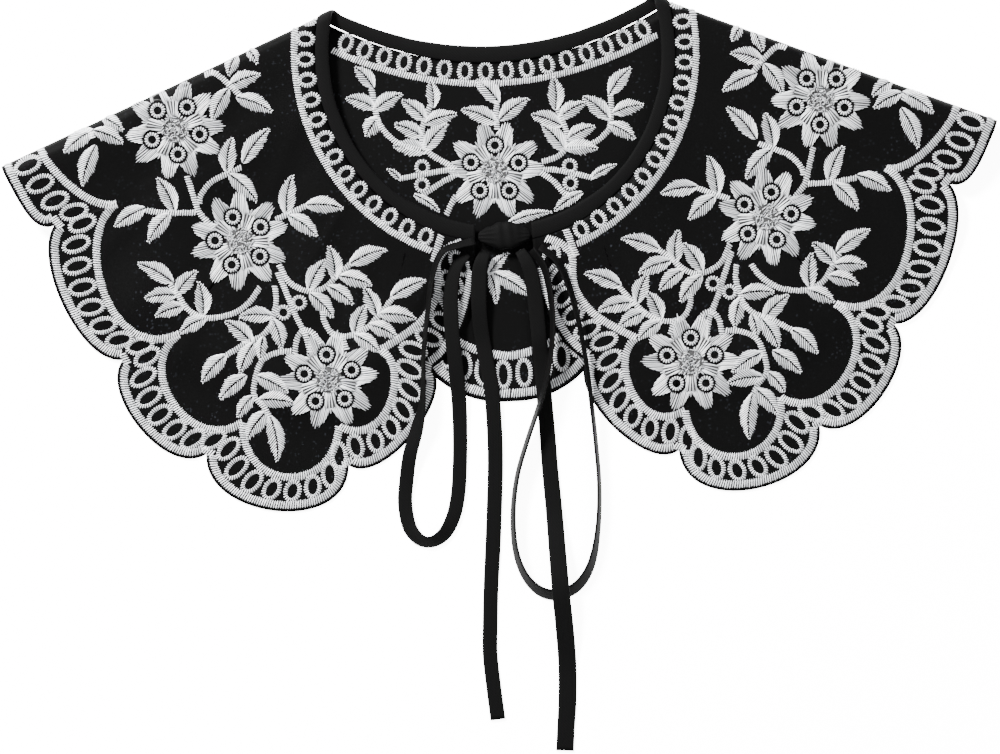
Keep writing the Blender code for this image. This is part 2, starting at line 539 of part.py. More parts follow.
def make_flower(cloth, name, x, y, first_eyelet):
    """One satin-stitch flower: pointed petals round a thicker heart, lying on the cloth below it."""
    pair = np.array(PETAL_PAIR)
    turn = (np.arange(FLOWER_PAIRS)[:, None] * 360 / FLOWER_PAIRS + pair[:, 0]).ravel()
    rim = np.tile(pair[:, 1], FLOWER_PAIRS)
    angle = np.radians(first_eyelet + turn)
    share, thick = np.array(FLOWER_RINGS).T
    radius = FLOWER_HEART + np.outer(share, rim - FLOWER_HEART)
    side = 1 if x > 0 else -1
    plan = np.stack([side * (x + radius * np.cos(angle)), y + radius * np.sin(angle)], axis=-1)
    short = np.maximum(FLOWER_FROM_FOLD - (plan - SHOULDER) @ INWARD, 0.0)
    if name != "flower_back":
        plan = plan + short[..., None] * INWARD
    px, py = side * plan[..., 0], plan[..., 1]
    ground = [cloth_top(cloth, float(a), float(b)) for a, b in zip(px.ravel(), py.ravel())]
    bottom = np.stack([px, py, np.reshape(ground, px.shape) + PETAL_GAP], axis=-1)
    top = bottom + np.stack([0 * px, 0 * px, 0 * px + thick[:, None]], axis=-1)
    around, rings = len(angle), len(thick)
    count = around * rings
    middle_low = (x, y, cloth_top(cloth, x, y) + PETAL_GAP)
    middle_top = (x, y, middle_low[2] + thick[0])
    vertices = np.concatenate([top.reshape(-1, 3), bottom.reshape(-1, 3), [middle_top], [middle_low]])
    faces = []
    for k in range(around):
        n = (k + 1) % around
        faces.append((2 * count, k, n))
        faces.append((2 * count + 1, count + n, count + k))
        for r in range(rings - 1):
            a, b = r * around + k, r * around + n
            faces.append((a, a + around, b + around, b))
            faces.append((count + a, count + b, count + b + around, count + a + around))
        a, b = (rings - 1) * around + k, (rings - 1) * around + n
        faces.append((a, count + a, count + b, b))
    return add_object(name, vertices, faces, SILVER_THREAD, 0.5)


def main():
    """Clear the scene and make every piece of the collar."""
    for old in list(bpy.data.objects):
        bpy.data.objects.remove(old, do_unlink=True)
    front, back = plan_panels()
    cloth = make_collar(front[0], back[0])
    make_binding(front[1], back[1])
    make_knot()
    make_tape("tie_end_left", TIE_END_LEFT)
    make_tape("tie_end_right", TIE_END_RIGHT)
    make_tape("bow_loop_left", LOOP_LEFT)
    make_tape("bow_loop_right", LOOP_RIGHT)
    for row in FLOWERS:
        make_flower(cloth, *row)


main()
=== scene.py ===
"""Studio picture of an embroidered organza collar with a ribbon bow, laid flat on a white table.

The collar is one C-shaped cloth folded along both shoulders. Its back half lies on the table with the right
side down, and its two fronts lie on the back with their right side up. Plan sizes are in millimetres: X runs
to the right of the photograph, Y up the picture from the level of the neckline's shoulder points, and Z up
from the table. Meshes are turned to metres, with the origin under the middle of the back, when they are made.
"""

import logging
import math
from dataclasses import dataclass, field
from enum import Enum

import bpy
import numpy as np
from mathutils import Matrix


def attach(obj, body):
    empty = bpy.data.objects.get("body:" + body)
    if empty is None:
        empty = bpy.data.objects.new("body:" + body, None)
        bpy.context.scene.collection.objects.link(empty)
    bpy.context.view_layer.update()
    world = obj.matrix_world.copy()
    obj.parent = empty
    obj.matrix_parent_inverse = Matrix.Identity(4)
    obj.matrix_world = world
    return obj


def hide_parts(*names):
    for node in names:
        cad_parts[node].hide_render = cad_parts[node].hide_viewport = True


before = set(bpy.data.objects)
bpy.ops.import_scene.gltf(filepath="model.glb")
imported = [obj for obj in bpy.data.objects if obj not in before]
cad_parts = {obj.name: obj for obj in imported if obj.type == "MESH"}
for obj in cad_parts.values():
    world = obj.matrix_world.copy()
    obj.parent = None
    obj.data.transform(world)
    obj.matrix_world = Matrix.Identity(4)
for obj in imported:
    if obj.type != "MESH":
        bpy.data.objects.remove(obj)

LOG = logging.getLogger("collar")
MM = 0.001
ORIGIN_Y = -95.0
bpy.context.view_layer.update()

# Cloth layers, as in the solid
HALF_WALL = 0.5            # half of the solid's wall, on whose middle the thin cloth lies
LAYER_REST = 2.1           # middle of the front cloth where it lies on the back layer
SHOULDER_X = 73.6          # half the neck width, at the fold
FOLD_SLOPE = math.radians(22.6)
FOLD_LENGTH = 157.0
FOLD_RAIL = 138.0
FOLD_REACH = (3.2, 5.4)
FOLD_RISE = (6.2, 9.2)
FOLD_RELAX = 27.0
NECK_HALF_WIDTH = 76.0
NECK_DEPTH = 80.0
NECK_CENTRE_Y = -20.0
NECK_END_X = 12.4
BACK_NECK_DROP = 20.6
NECK_LIFT = 2.2
NECK_LIFT_REACH = 24.0
BACK_OVAL = (231.0, 174.5)
SETTLE = (1.02, 1.11)
LOOSE_FROM_FOLD = 30.0
LOOSE_EDGE = (1.04, 1.14)
LOOSE_EDGE_LOSS = 0.75
SLOPE_PROBE = 0.4
BISECTIONS = 50

# One row for each scallop of a front, from the shoulder fold to the bow: notch, cusp of the inner rail, the
# two handles of its edge and of its rail as (along, outwards) from each end, neck share and columns
FRONT_SCALLOPS = (
    # notch            cusp              edge start    edge end       rail start    rail end      neck  n
    ((195.4, -85.8),   (168.8, -78.7),   (11.0, 4.0),  (-2.0, 12.0),  (12.0, 5.0),  (-6.0, 8.0),  0.13, 4),
    ((169.8, -147.4),  (144.2, -137.1),  (6.0, 17.5),  (-6.0, 18.5),  (4.0, 25.0),  (0.0, 34.0),  0.32, 7),
    ((135.0, -190.5),  (118.3, -177.1),  (3.0, 18.0),  (-3.0, 20.5),  (0.0, 27.0),  (0.0, 27.0),  0.47, 6),
    ((72.6, -198.4),   (76.2, -180.8),   (0.0, 28.0),  (2.0, 32.0),   (0.0, 31.3),  (0.0, 31.3),  0.62, 7),
    ((33.9, -157.0),   (56.2, -148.2),   (2.0, 17.0),  (-4.0, 17.0),  (0.0, 24.0),  (0.0, 16.0),  0.77, 6),
    ((12.0, -116.0),   (13.0, -114.6),   (14.0, 9.0),  (-12.0, 3.0),  (20.3, 3.5),  (-13.1, -5.9), 1.0, 7),
)
# The same for half of the back, from the shoulder fold to the centre line
BACK_SCALLOPS = (
    ((195.4, -85.8),   (168.8, -78.7),   (11.0, 4.0),  (-2.0, 12.0),  (12.0, 5.0),  (-6.0, 8.0),  0.18, 3),
    ((147.0, -116.5),  (131.0, -100.5),  (3.0, 18.0),  (-3.0, 18.0),  (0.0, 23.0),  (0.0, 23.0),  0.42, 5),
    ((92.0, -145.5),   (83.0, -125.0),   (3.0, 18.0),  (-3.0, 18.0),  (0.0, 23.0),  (0.0, 23.0),  0.64, 5),
    ((35.5, -158.5),   (33.0, -136.5),   (3.0, 18.0),  (-3.0, 18.0),  (0.0, 23.0),  (0.0, 23.0),  0.83, 5),
    ((0.0, -173.5),    (0.0, -153.5),    (12.4, 6.1),  (-12.4, 6.1),  (12.5, 5.0),  (-12.5, 5.0), 1.0, 4),
)

# Soft buckles of the fronts, as in the solid
BUCKLES = (
    # x        y       degrees  length  width  height
    (118.0,   -72.0,   -38.0,   46.0,   13.0,  1.5),
    (150.0,  -108.0,   -62.0,   30.0,   11.0,  1.1),
    (70.0,   -122.0,   -78.0,   38.0,   12.0,  1.3),
    (110.0,  -160.0,  -104.0,   30.0,   15.0,  1.7),
    (46.0,   -140.0,   -60.0,   24.0,    9.0,  0.8),
    (184.0,   -92.0,   -30.0,   22.0,   10.0,  1.2),
    (-124.0,  -66.0,  -146.0,   52.0,   12.0,  1.2),
    (-158.0, -118.0,  -118.0,   34.0,   14.0,  1.6),
    (-86.0,  -108.0,  -100.0,   30.0,   10.0,  1.0),
    (-104.0, -172.0,   -84.0,   28.0,   16.0,  1.5),
    (-58.0,  -150.0,  -128.0,   26.0,   10.0,  1.1),
    (-190.0,  -80.0,  -170.0,   24.0,   11.0,  0.9),
)
# Finer soft creases of the organza: ridges above zero and troughs below
CREASES = (
    # x        y       degrees  length  width  height
    (92.0,    -60.0,   -62.0,   30.0,    3.4,  0.42),
    (104.0,   -84.0,   -50.0,   22.0,    2.8, -0.30),
    (128.0,   -78.0,   -34.0,   26.0,    3.2,  0.34),
    (160.0,   -74.0,   -22.0,   24.0,    3.0, -0.28),
    (176.0,  -104.0,   -70.0,   20.0,    3.6,  0.40),
    (150.0,  -132.0,   -52.0,   17.0,    2.8, -0.30),
    (128.0,  -150.0,   -80.0,   24.0,    3.8,  0.38),
    (88.0,   -140.0,   -96.0,   20.0,    3.0, -0.26),
    (62.0,   -132.0,   -72.0,   28.0,    3.2,  0.36),
    (60.0,   -108.0,   -58.0,   16.0,    2.6,  0.30),
    (98.0,   -184.0,  -100.0,   16.0,    3.6,  0.36),
    (44.0,   -150.0,   -48.0,   15.0,    2.6, -0.24),
    (30.0,   -124.0,   -66.0,   14.0,    2.4,  0.26),
    (84.0,    -44.0,   -80.0,   14.0,    2.6, -0.24),
    (-90.0,   -52.0,  -112.0,   26.0,    3.2,  0.38),
    (-112.0,  -90.0,  -140.0,   30.0,    3.4, -0.30),
    (-136.0,  -62.0,  -152.0,   22.0,    2.8,  0.32),
    (-168.0,  -92.0,  -138.0,   26.0,    3.4,  0.36),
    (-182.0, -112.0,  -104.0,   18.0,    3.6, -0.34),
    (-146.0, -150.0,  -120.0,   20.0,    3.2,  0.38),
    (-116.0, -138.0,   -96.0,   26.0,    3.0, -0.28),
    (-84.0,  -186.0,   -86.0,   14.0,    3.4,  0.36),
    (-66.0,  -126.0,  -112.0,   24.0,    2.8,  0.30),
    (-42.0,  -138.0,  -124.0,   18.0,    2.6, -0.26),
    (-34.0,  -118.0,  -108.0,   12.0,    2.4,  0.28),
    (-74.0,   -92.0,  -122.0,   16.0,    2.6,  0.30),
)

# Tape routes from the knot, as in the solids: x, y, height of the middle, width, tilt in degrees
TIE_END_LEFT = (
    (-8.0, -107.0, 5.0, 4.6, 8.0), (-10.2, -111.5, 6.0, 6.0, 4.0), (-11.6, -118.0, 5.6, 6.8, 0.0),
    (-12.2, -130.0, 4.9, 6.8, 0.0), (-12.0, -139.0, 3.4, 6.8, 0.0), (-11.2, -147.0, 2.2, 6.8, 0.0),
    (-9.9, -157.0, 2.0, 6.8, 0.0), (-8.4, -168.0, 2.0, 6.8, 0.0), (-7.9, -186.0, 1.5, 6.8, 0.0),
    (-8.3, -202.0, 0.7, 6.8, 0.0), (-9.6, -220.0, 0.6, 6.8, 0.0), (-11.0, -237.0, 0.6, 6.8, 0.0),
    (-12.6, -254.0, 0.6, 6.6, 0.0), (-13.7, -270.0, 0.6, 6.6, 0.0), (-14.4, -284.0, 0.6, 6.6, 0.0),
    (-13.5, -299.0, 0.6, 6.6, 0.0), (-12.3, -313.0, 0.6, 6.6, 0.0),
)
TIE_END_RIGHT = (
    (6.8, -107.5, 5.0, 4.6, -8.0), (9.6, -112.9, 6.0, 6.0, -4.0), (11.4, -118.5, 5.7, 6.6, 0.0),
    (12.6, -130.0, 4.9, 6.8, 0.0), (13.2, -140.0, 4.4, 6.8, 0.0), (13.5, -147.0, 4.0, 6.8, 0.0),
    (13.8, -154.0, 2.6, 6.8, 0.0), (14.1, -161.0, 1.9, 6.8, 0.0), (14.6, -172.0, 1.9, 6.8, 0.0),
    (15.2, -187.0, 1.3, 7.0, 0.0), (15.7, -204.0, 0.8, 7.2, 0.0), (16.6, -222.0, 1.5, 7.4, 0.0),
    (17.2, -240.0, 5.0, 7.6, 0.0), (17.8, -257.0, 7.9, 7.8, 0.0), (18.8, -274.0, 4.6, 8.0, 0.0),
    (19.3, -290.0, 1.1, 8.0, 0.0), (18.6, -306.0, 0.6, 8.0, 0.0), (17.4, -318.0, 0.6, 7.8, 0.0),
    (16.5, -328.0, 0.6, 7.8, 0.0),
)
LOOP_LEFT = (
    (-12.7, -102.6, 7.6, 4.4, 40.0), (-20.0, -104.0, 8.6, 5.4, 58.0), (-27.2, -106.6, 8.9, 6.0, 66.0),
    (-31.8, -116.0, 8.7, 6.2, 70.0), (-34.7, -132.0, 8.3, 6.4, 74.0), (-37.4, -150.0, 7.6, 6.4, 76.0),
    (-38.0, -160.0, 7.2, 6.4, 76.0), (-39.1, -173.0, 6.4, 6.4, 64.0), (-42.0, -184.0, 4.6, 6.4, 28.0),
    (-45.6, -195.0, 3.2, 6.4, 10.0), (-47.6, -206.0, 1.4, 6.4, 2.0), (-48.7, -216.0, 1.1, 6.4, 0.0),
    (-47.4, -226.0, 1.4, 6.4, 10.0), (-44.0, -231.4, 2.4, 6.4, 28.0), (-39.8, -233.6, 2.9, 6.4, 40.0),
    (-35.2, -232.6, 2.6, 6.4, 32.0), (-31.0, -229.0, 1.8, 6.4, 16.0), (-27.4, -222.0, 1.2, 6.4, 4.0),
    (-25.2, -213.0, 1.0, 6.4, 0.0), (-24.0, -202.0, 1.0, 6.4, 0.0), (-23.2, -189.0, 1.3, 6.4, 0.0),
    (-22.9, -174.0, 2.2, 6.6, 0.0), (-23.6, -158.0, 4.4, 6.6, 0.0), (-24.6, -142.0, 5.6, 6.6, -4.0),
    (-24.4, -126.0, 6.2, 6.6, -8.0), (-21.6, -114.0, 6.6, 5.6, -12.0), (-16.4, -107.8, 6.7, 4.4, -14.0),
)
LOOP_RIGHT = (
    (12.0, -107.4, 7.5, 4.2, 52.0), (17.0, -115.5, 8.2, 5.6, 62.0), (19.2, -127.0, 8.2, 6.4, 70.0),
    (19.7, -140.0, 8.3, 6.6, 74.0), (18.4, -152.5, 8.2, 6.6, 76.0), (15.8, -164.0, 8.0, 6.6, 76.0),
    (12.0, -176.0, 7.4, 6.6, 76.0), (6.4, -190.5, 5.6, 6.6, 76.0), (1.2, -206.0, 4.1, 6.6, 76.0),
    (-1.4, -222.0, 3.7, 6.6, 74.0), (-1.2, -238.0, 3.6, 6.6, 70.0), (2.4, -250.0, 3.3, 6.6, 62.0),
    (9.0, -257.4, 2.8, 6.8, 50.0), (17.0, -259.2, 2.6, 6.8, 44.0), (25.6, -255.6, 2.8, 6.8, 48.0),
    (32.0, -246.0, 3.2, 6.8, 60.0), (35.6, -230.0, 3.6, 6.6, 72.0), (36.9, -212.0, 3.8, 6.6, 76.0),
    (36.3, -194.0, 4.6, 6.6, 76.0), (35.1, -176.0, 7.0, 6.6, 76.0), (33.6, -158.0, 8.4, 6.6, 76.0),
    (31.4, -142.0, 8.5, 6.6, 74.0), (28.4, -127.0, 8.4, 6.4, 68.0), (23.4, -113.6, 8.2, 5.4, 58.0),
    (15.6, -106.4, 8.9, 4.2, 46.0),
)

# Flowers: the solid they stand for, place, and the angle of the first eyelet
FLOWERS = (
    ("flower_right_shoulder", 141.7, -47.5, 50.0),
    ("flower_right_middle", 115.7, -97.7, 4.0),
    ("flower_right_hem", 79.7, -160.3, 16.0),
    ("flower_left_shoulder", -141.7, -47.5, 130.0),
    ("flower_left_middle", -115.7, -97.7, 176.0),
    ("flower_left_hem", -79.7, -160.3, 20.0),
    ("flower_back", -2.5, -71.7, 15.0),
)

# Stems of one front, laid out for the right side and mirrored to the left
FRONT_STEMS = (
    ((188.0, -47.5), (180.0, -46.0), (177.5, -50.0)),
    ((127.6, -24.6), (123.8, -23.5), (118.8, -27.3), (112.6, -33.9)),
    ((137.6, -68.0), (135.1, -77.4), (133.7, -82.4), (132.1, -85.7), (126.9, -91.4)),
    ((132.7, -80.5), (131.9, -76.9), (127.3, -71.5), (120.3, -68.1), (113.4, -65.4)),
    ((134.3, -84.2), (146.3, -83.9), (156.1, -82.4)),
    ((107.9, -118.1), (113.2, -124.9), (121.0, -129.5), (132.1, -130.6), (139.6, -127.0), (143.6, -120.8),
     (147.2, -115.1)),
    ((101.6, -117.8), (101.0, -124.5), (102.7, -131.2), (104.2, -135.6), (108.5, -139.9), (114.9, -142.4),
     (125.0, -148.1)),
    ((100.0, -112.0), (97.2, -119.3), (94.8, -125.8), (92.8, -131.7), (89.9, -137.7)),
    ((89.9, -137.7), (92.9, -142.0), (94.1, -149.6)),
    ((89.9, -137.7), (88.4, -142.2), (87.3, -148.1)),
    ((89.9, -137.7), (86.0, -139.2), (82.2, -144.3)),
    ((99.2, -108.7), (94.8, -116.9), (86.5, -121.1), (79.5, -119.8), (72.8, -113.7), (67.3, -109.7)),
    ((81.0, -129.9), (80.2, -135.2), (76.2, -140.8), (68.2, -141.2), (61.1, -137.8), (54.4, -131.1),
     (49.3, -125.0)),
    ((73.1, -141.3), (71.1, -147.6)),
    ((95.3, -146.8), (102.1, -147.4), (108.1, -150.3), (111.0, -155.5), (112.8, -165.2), (109.0, -170.4),
     (106.2, -175.6)),
    ((99.9, -89.0), (93.4, -86.6), (85.2, -83.3)),
)
# Leaves of one front, from base to tip
FRONT_LEAVES = (
    # base x    y       tip x    y
    (178.0,  -46.9,  190.5,  -55.9),
    (176.8,  -53.8,  183.2,  -70.8),
    (175.9,  -47.0,  164.7,  -52.5),
    (172.3,  -41.6,  164.5,  -46.9),
    (116.1,  -29.4,  103.2,  -25.4),
    (118.0,  -31.8,  125.1,  -44.4),
    (113.2,  -35.1,   99.0,  -41.9),
    (113.5,  -16.5,  117.0,  -25.0),
    (107.7,  -14.6,  104.5,  -20.3),
    (119.6,  -66.3,  116.8,  -52.2),
    (112.1,  -62.9,  100.3,  -49.0),
    (118.5,  -68.9,  107.6,  -80.8),
    (144.1,  -82.4,  150.8,  -68.4),
    (157.2,  -81.8,  170.4,  -89.1),
    (146.4,  -85.0,  155.7,  -96.4),
    (146.6, -114.1,  161.0, -105.5),
    (144.1, -119.1,  135.2, -110.0),
    (133.6, -128.4,  134.8, -114.6),
    (145.8, -120.1,  158.5, -121.2),
    (142.7, -125.2,  154.4, -129.1),
    (133.0, -131.0,  143.8, -136.7),
    (104.0, -131.1,  117.5, -131.0),
    (113.1, -142.0,  124.1, -132.5),
    (125.0, -148.1,  135.4, -158.9),
    (112.2, -143.4,  118.2, -155.7),
    (107.6, -141.3,  108.9, -149.8),
    (102.8, -133.4,   99.8, -145.7),
    (85.9,  -119.5,   78.4, -107.6),
    (75.0,  -115.2,   76.8, -101.8),
    (67.3,  -109.7,   51.5, -104.3),
    (71.8,  -115.4,   58.7, -120.0),
    (77.3,  -119.9,   67.6, -127.8),
    (85.5,  -122.8,   76.4, -133.3),
    (67.0,  -139.6,   61.7, -128.1),
    (57.6,  -132.0,   62.4, -120.6),
    (49.8,  -124.9,   34.8, -118.7),
    (55.0,  -132.7,   40.1, -135.5),
    (60.0,  -137.3,   48.8, -143.1),
    (66.6,  -141.8,   57.1, -149.1),
    (110.4, -157.7,   97.6, -165.4),
    (116.5, -157.4,  127.8, -166.8),
    (109.9, -167.9,   95.3, -170.0),
    (106.2, -175.6,  104.0, -195.2),
    (108.0, -173.6,  116.7, -184.7),
    (113.9, -166.7,  120.3, -175.0),
    (94.5,   -86.0,   91.3,  -69.8),
    (85.2,   -83.3,   69.6,  -85.6),
    (93.0,   -88.2,   81.9,  -97.3),
)
FRONT_RINGS = ((98.1, -129.9), (91.0, -125.9))

# The inner rail of the scallop beside the bow, and the rail that closes the neck ladder there
INNER_RAIL_END = ((56.2, -148.2), (46.5, -142.8), (38.0, -136.7), (32.4, -129.5), (30.0, -124.0),
                  (29.5, -117.0), (29.6, -111.0), (25.6, -105.6), (18.4, -102.4))
LADDER_CAP = ((27.3, -99.0), (29.4, -105.0), (31.3, -111.0))

# The inside of the back, seen through the neck opening and between the fronts
BACK_STEMS = (
    ((-34.4, -61.4), (-43.6, -58.2), (-48.0, -54.7), (-52.0, -49.4), (-53.7, -42.9), (-54.9, -33.5)),
    ((-19.5, -70.4), (-24.0, -67.4), (-29.4, -63.9), (-32.5, -60.5), (-33.7, -55.8), (-33.5, -51.1),
     (-31.4, -46.6), (-29.6, -41.6)),
    ((-44.7, -73.4), (-32.1, -71.7), (-21.4, -70.3)),
    ((-18.2, -72.3), (-24.9, -75.3), (-31.5, -79.1), (-34.9, -81.3)),
    ((-20.1, -81.9), (-22.6, -86.0), (-24.7, -90.5)),
    ((18.2, -68.9), (24.3, -67.4), (28.2, -64.7), (30.2, -60.2), (29.5, -55.1), (27.9, -50.4), (26.2, -45.6)),
    ((30.1, -63.4), (40.3, -62.1), (46.0, -58.6), (49.0, -55.0), (49.7, -49.5), (50.0, -44.0), (49.7, -40.7)),
    ((18.5, -72.2), (25.0, -72.9), (34.2, -75.2), (40.6, -76.9)),
    ((17.5, -73.5), (22.9, -77.5), (27.3, -82.8), (30.0, -84.3)),
    ((-0.5, -54.0), (-0.8, -48.0), (-0.1, -41.0)),
)
# From base to tip. Where the width is 0, it follows from the length
BACK_LEAVES = (
    # base x    y       tip x    y       width
    (-54.8,  -32.1,  -61.9,  -23.5,  7.0),
    (-53.5,  -42.5,  -41.6,  -36.2,  0.0),
    (-54.8,  -41.5,  -66.4,  -36.9,  0.0),
    (-53.3,  -47.0,  -58.2,  -54.2,  7.5),
    (-28.4,  -41.7,  -29.3,  -30.6,  6.0),
    (-31.1,  -49.5,  -18.2,  -46.3,  0.0),
    (-32.5,  -47.6,  -42.0,  -39.0,  0.0),
    (-34.6,  -54.9,  -45.7,  -49.5,  0.0),
    (-32.5,  -61.0,  -22.3,  -50.3,  0.0),
    (-33.0,  -61.9,  -46.6,  -59.4,  0.0),
    (-44.7,  -73.4,  -49.8,  -69.0,  3.0),
    (-38.1,  -81.1,  -27.6,  -89.0,  4.0),
    (-0.1,   -41.1,   -8.9,  -31.5,  8.0),
    (-1.0,   -50.8,  -16.0,  -44.2,  0.0),
    (1.5,    -49.1,   13.9,  -40.9,  0.0),
    (25.3,   -45.2,   25.0,  -31.7,  0.0),
    (27.8,   -49.5,   38.6,  -43.9,  0.0),
    (26.8,   -53.1,   14.5,  -48.1,  0.0),
    (31.2,   -58.9,   42.3,  -54.5,  0.0),
    (28.2,   -63.8,   19.0,  -52.7,  0.0),
    (30.1,   -63.4,   43.0,  -64.5,  0.0),
    (50.1,   -39.9,   59.4,  -29.5,  0.0),
    (48.3,   -50.9,   37.6,  -41.1,  0.0),
    (51.6,   -48.7,   64.2,  -46.0,  0.0),
    (49.5,   -54.1,   59.7,  -60.9,  0.0),
    (40.1,   -76.9,   51.2,  -71.8,  4.0),
    (35.1,   -83.6,   22.8,  -90.9,  5.0),
    (2.9,    -95.2,   21.8,  -91.3,  5.0),
    (-5.2,  -117.1,   10.5, -127.7,  7.5),
    (-6.7,  -117.1,   -4.8, -130.2,  5.0),
    (-6.7,  -116.6,    1.8, -108.3,  5.0),
)
BACK_LINE = ((6.9, -107.0), (12.4, -114.9))
BACK_RINGS = ((-34.3, -68.8), (-34.7, -76.7), (30.6, -71.3), (30.5, -78.9))


def unit(v: np.ndarray) -> np.ndarray:
    """Length-one vectors along the last axis."""
    return v / np.maximum(np.linalg.norm(v, axis=-1, keepdims=True), 1e-9)


def smooth(x: np.ndarray, low: float, high: float) -> np.ndarray:
    """0 below low, 1 above high, and the cubic 3q^2 - 2q^3 between them."""
    q = np.clip((x - low) / (high - low), 0.0, 1.0)
    return q * q * (3 - 2 * q)


def linear(code: str) -> tuple[float, float, float, float]:
    """Scene-linear colour of an sRGB hex code such as "#1A2B3C", by the sRGB curve."""
    values = [int(code[k:k + 2], 16) / 255 for k in (1, 3, 5)]
    r, g, b = (v / 12.92 if v <= 0.04045 else ((v + 0.055) / 1.055) ** 2.4 for v in values)
    return (r, g, b, 1.0)


def smooth_route(rows: np.ndarray, spacing: float) -> np.ndarray:
    """Even stations along a Catmull-Rom curve through rows.

    Args:
        rows: points, with x, y and z or x and y first and any other columns after them.
        spacing: distance between two stations, in the rows' unit.

    Returns:
        The stations, with every column of the rows.
    """
    space = min(rows.shape[1], 3)
    before = np.concatenate([[2 * rows[0] - rows[1]], rows, [2 * rows[-1] - rows[-2]]])
    t = np.linspace(0, 1, 16, endpoint=False)[:, None]
    fine = []
    for k in range(len(rows) - 1):
        p0, p1, p2, p3 = before[k:k + 4]
        fine.append(0.5 * (2 * p1 + (p2 - p0) * t + (2 * p0 - 5 * p1 + 4 * p2 - p3) * t * t
                           + (3 * p1 - p0 - 3 * p2 + p3) * t ** 3))
    fine = np.concatenate(fine + [rows[-1:]])
    return resample(fine, spacing, space)


def resample(points: np.ndarray, spacing: float, space: int = 2) -> np.ndarray:
    """Points at even distances along a polyline, with both its ends, by linear interpolation."""
    length = arc(points[:, :space])
    stations = np.linspace(0, length[-1], max(2, int(round(length[-1] / spacing)) + 1))
    return np.stack([np.interp(stations, length, points[:, k]) for k in range(points.shape[1])], axis=1)


def respace(points: np.ndarray, count: int) -> np.ndarray:
    """A given number of points at even distances along a plan polyline."""
    length = arc(points)
    stations = np.linspace(0, length[-1], count)
    return np.stack([np.interp(stations, length, points[:, k]) for k in (0, 1)], axis=1)


def at(points: np.ndarray, length: np.ndarray, place: float) -> np.ndarray:
    """The plan point of a polyline where another line's length reaches a place."""
    return np.array([np.interp(place, length, points[:, k]) for k in (0, 1)])


def arc(points: np.ndarray) -> np.ndarray:
    """Distance along a polyline at each of its points."""
    return np.concatenate([[0.0], np.cumsum(np.linalg.norm(np.diff(points, axis=0), axis=1))])


def sideways(path: np.ndarray) -> np.ndarray:
    """Unit vectors to the left of a plan path, at each of its points."""
    along = unit(np.gradient(path, axis=0))
    return np.stack([-along[:, 1], along[:, 0]], axis=1)


def quad_mesh(name: str, vertices: np.ndarray, quads: np.ndarray, tone: np.ndarray | None = None,
              uv: np.ndarray | None = None) -> bpy.types.Object:
    """An object of quads, from plan millimetres, put in as whole arrays.

    Args:
        name: the piece's name.
        vertices: (n, 3) points in plan millimetres.
        quads: (m, 4) vertex numbers.
        tone: one value a vertex, kept as the attribute "tone".
        uv: one (u, v) a vertex, kept in the UV map.

    Returns:
        The object, linked to the scene, at the origin and shaded smooth.
    """
    mesh = bpy.data.meshes.new(name)
    count = len(quads)
    mesh.vertices.add(len(vertices))
    placed = (vertices - (0.0, ORIGIN_Y, 0.0)) * MM
    mesh.vertices.foreach_set("co", placed.astype(np.float32).ravel())
    mesh.loops.add(count * 4)
    mesh.loops.foreach_set("vertex_index", quads.astype(np.int32).ravel())
    mesh.polygons.add(count)
    mesh.polygons.foreach_set("loop_start", np.arange(0, count * 4, 4, dtype=np.int32))
    mesh.polygons.foreach_set("use_smooth", np.ones(count, dtype=bool))
    if tone is not None:
        layer = mesh.attributes.new("tone", "FLOAT", "POINT")
        layer.data.foreach_set("value", tone.astype(np.float32))
    if uv is not None:
        layer = mesh.uv_layers.new(name="UVMap")
        layer.data.foreach_set("uv", uv[quads.ravel()].astype(np.float32).ravel())
    mesh.update(calc_edges=True)
    made = bpy.data.objects.new(name, mesh)
    bpy.context.scene.collection.objects.link(made)
    return made


def grid_quads(columns: int, rows: int, start: int = 0, closed: bool = False) -> np.ndarray:
    """Quads of a grid whose vertices run row by row in each column.

    Args:
        columns: number of columns.
        rows: vertices in a column.
        start: number of the grid's first vertex.
        closed: whether the last row joins the first one.

    Returns:
        (m, 4) vertex numbers.
    """
    c, r = np.meshgrid(np.arange(columns - 1), np.arange(rows if closed else rows - 1), indexing="ij")
    a = start + c * rows + r
    b = start + c * rows + (r + 1) % rows
    return np.stack([a, a + rows, b + rows, b], axis=-1).reshape(-1, 4)


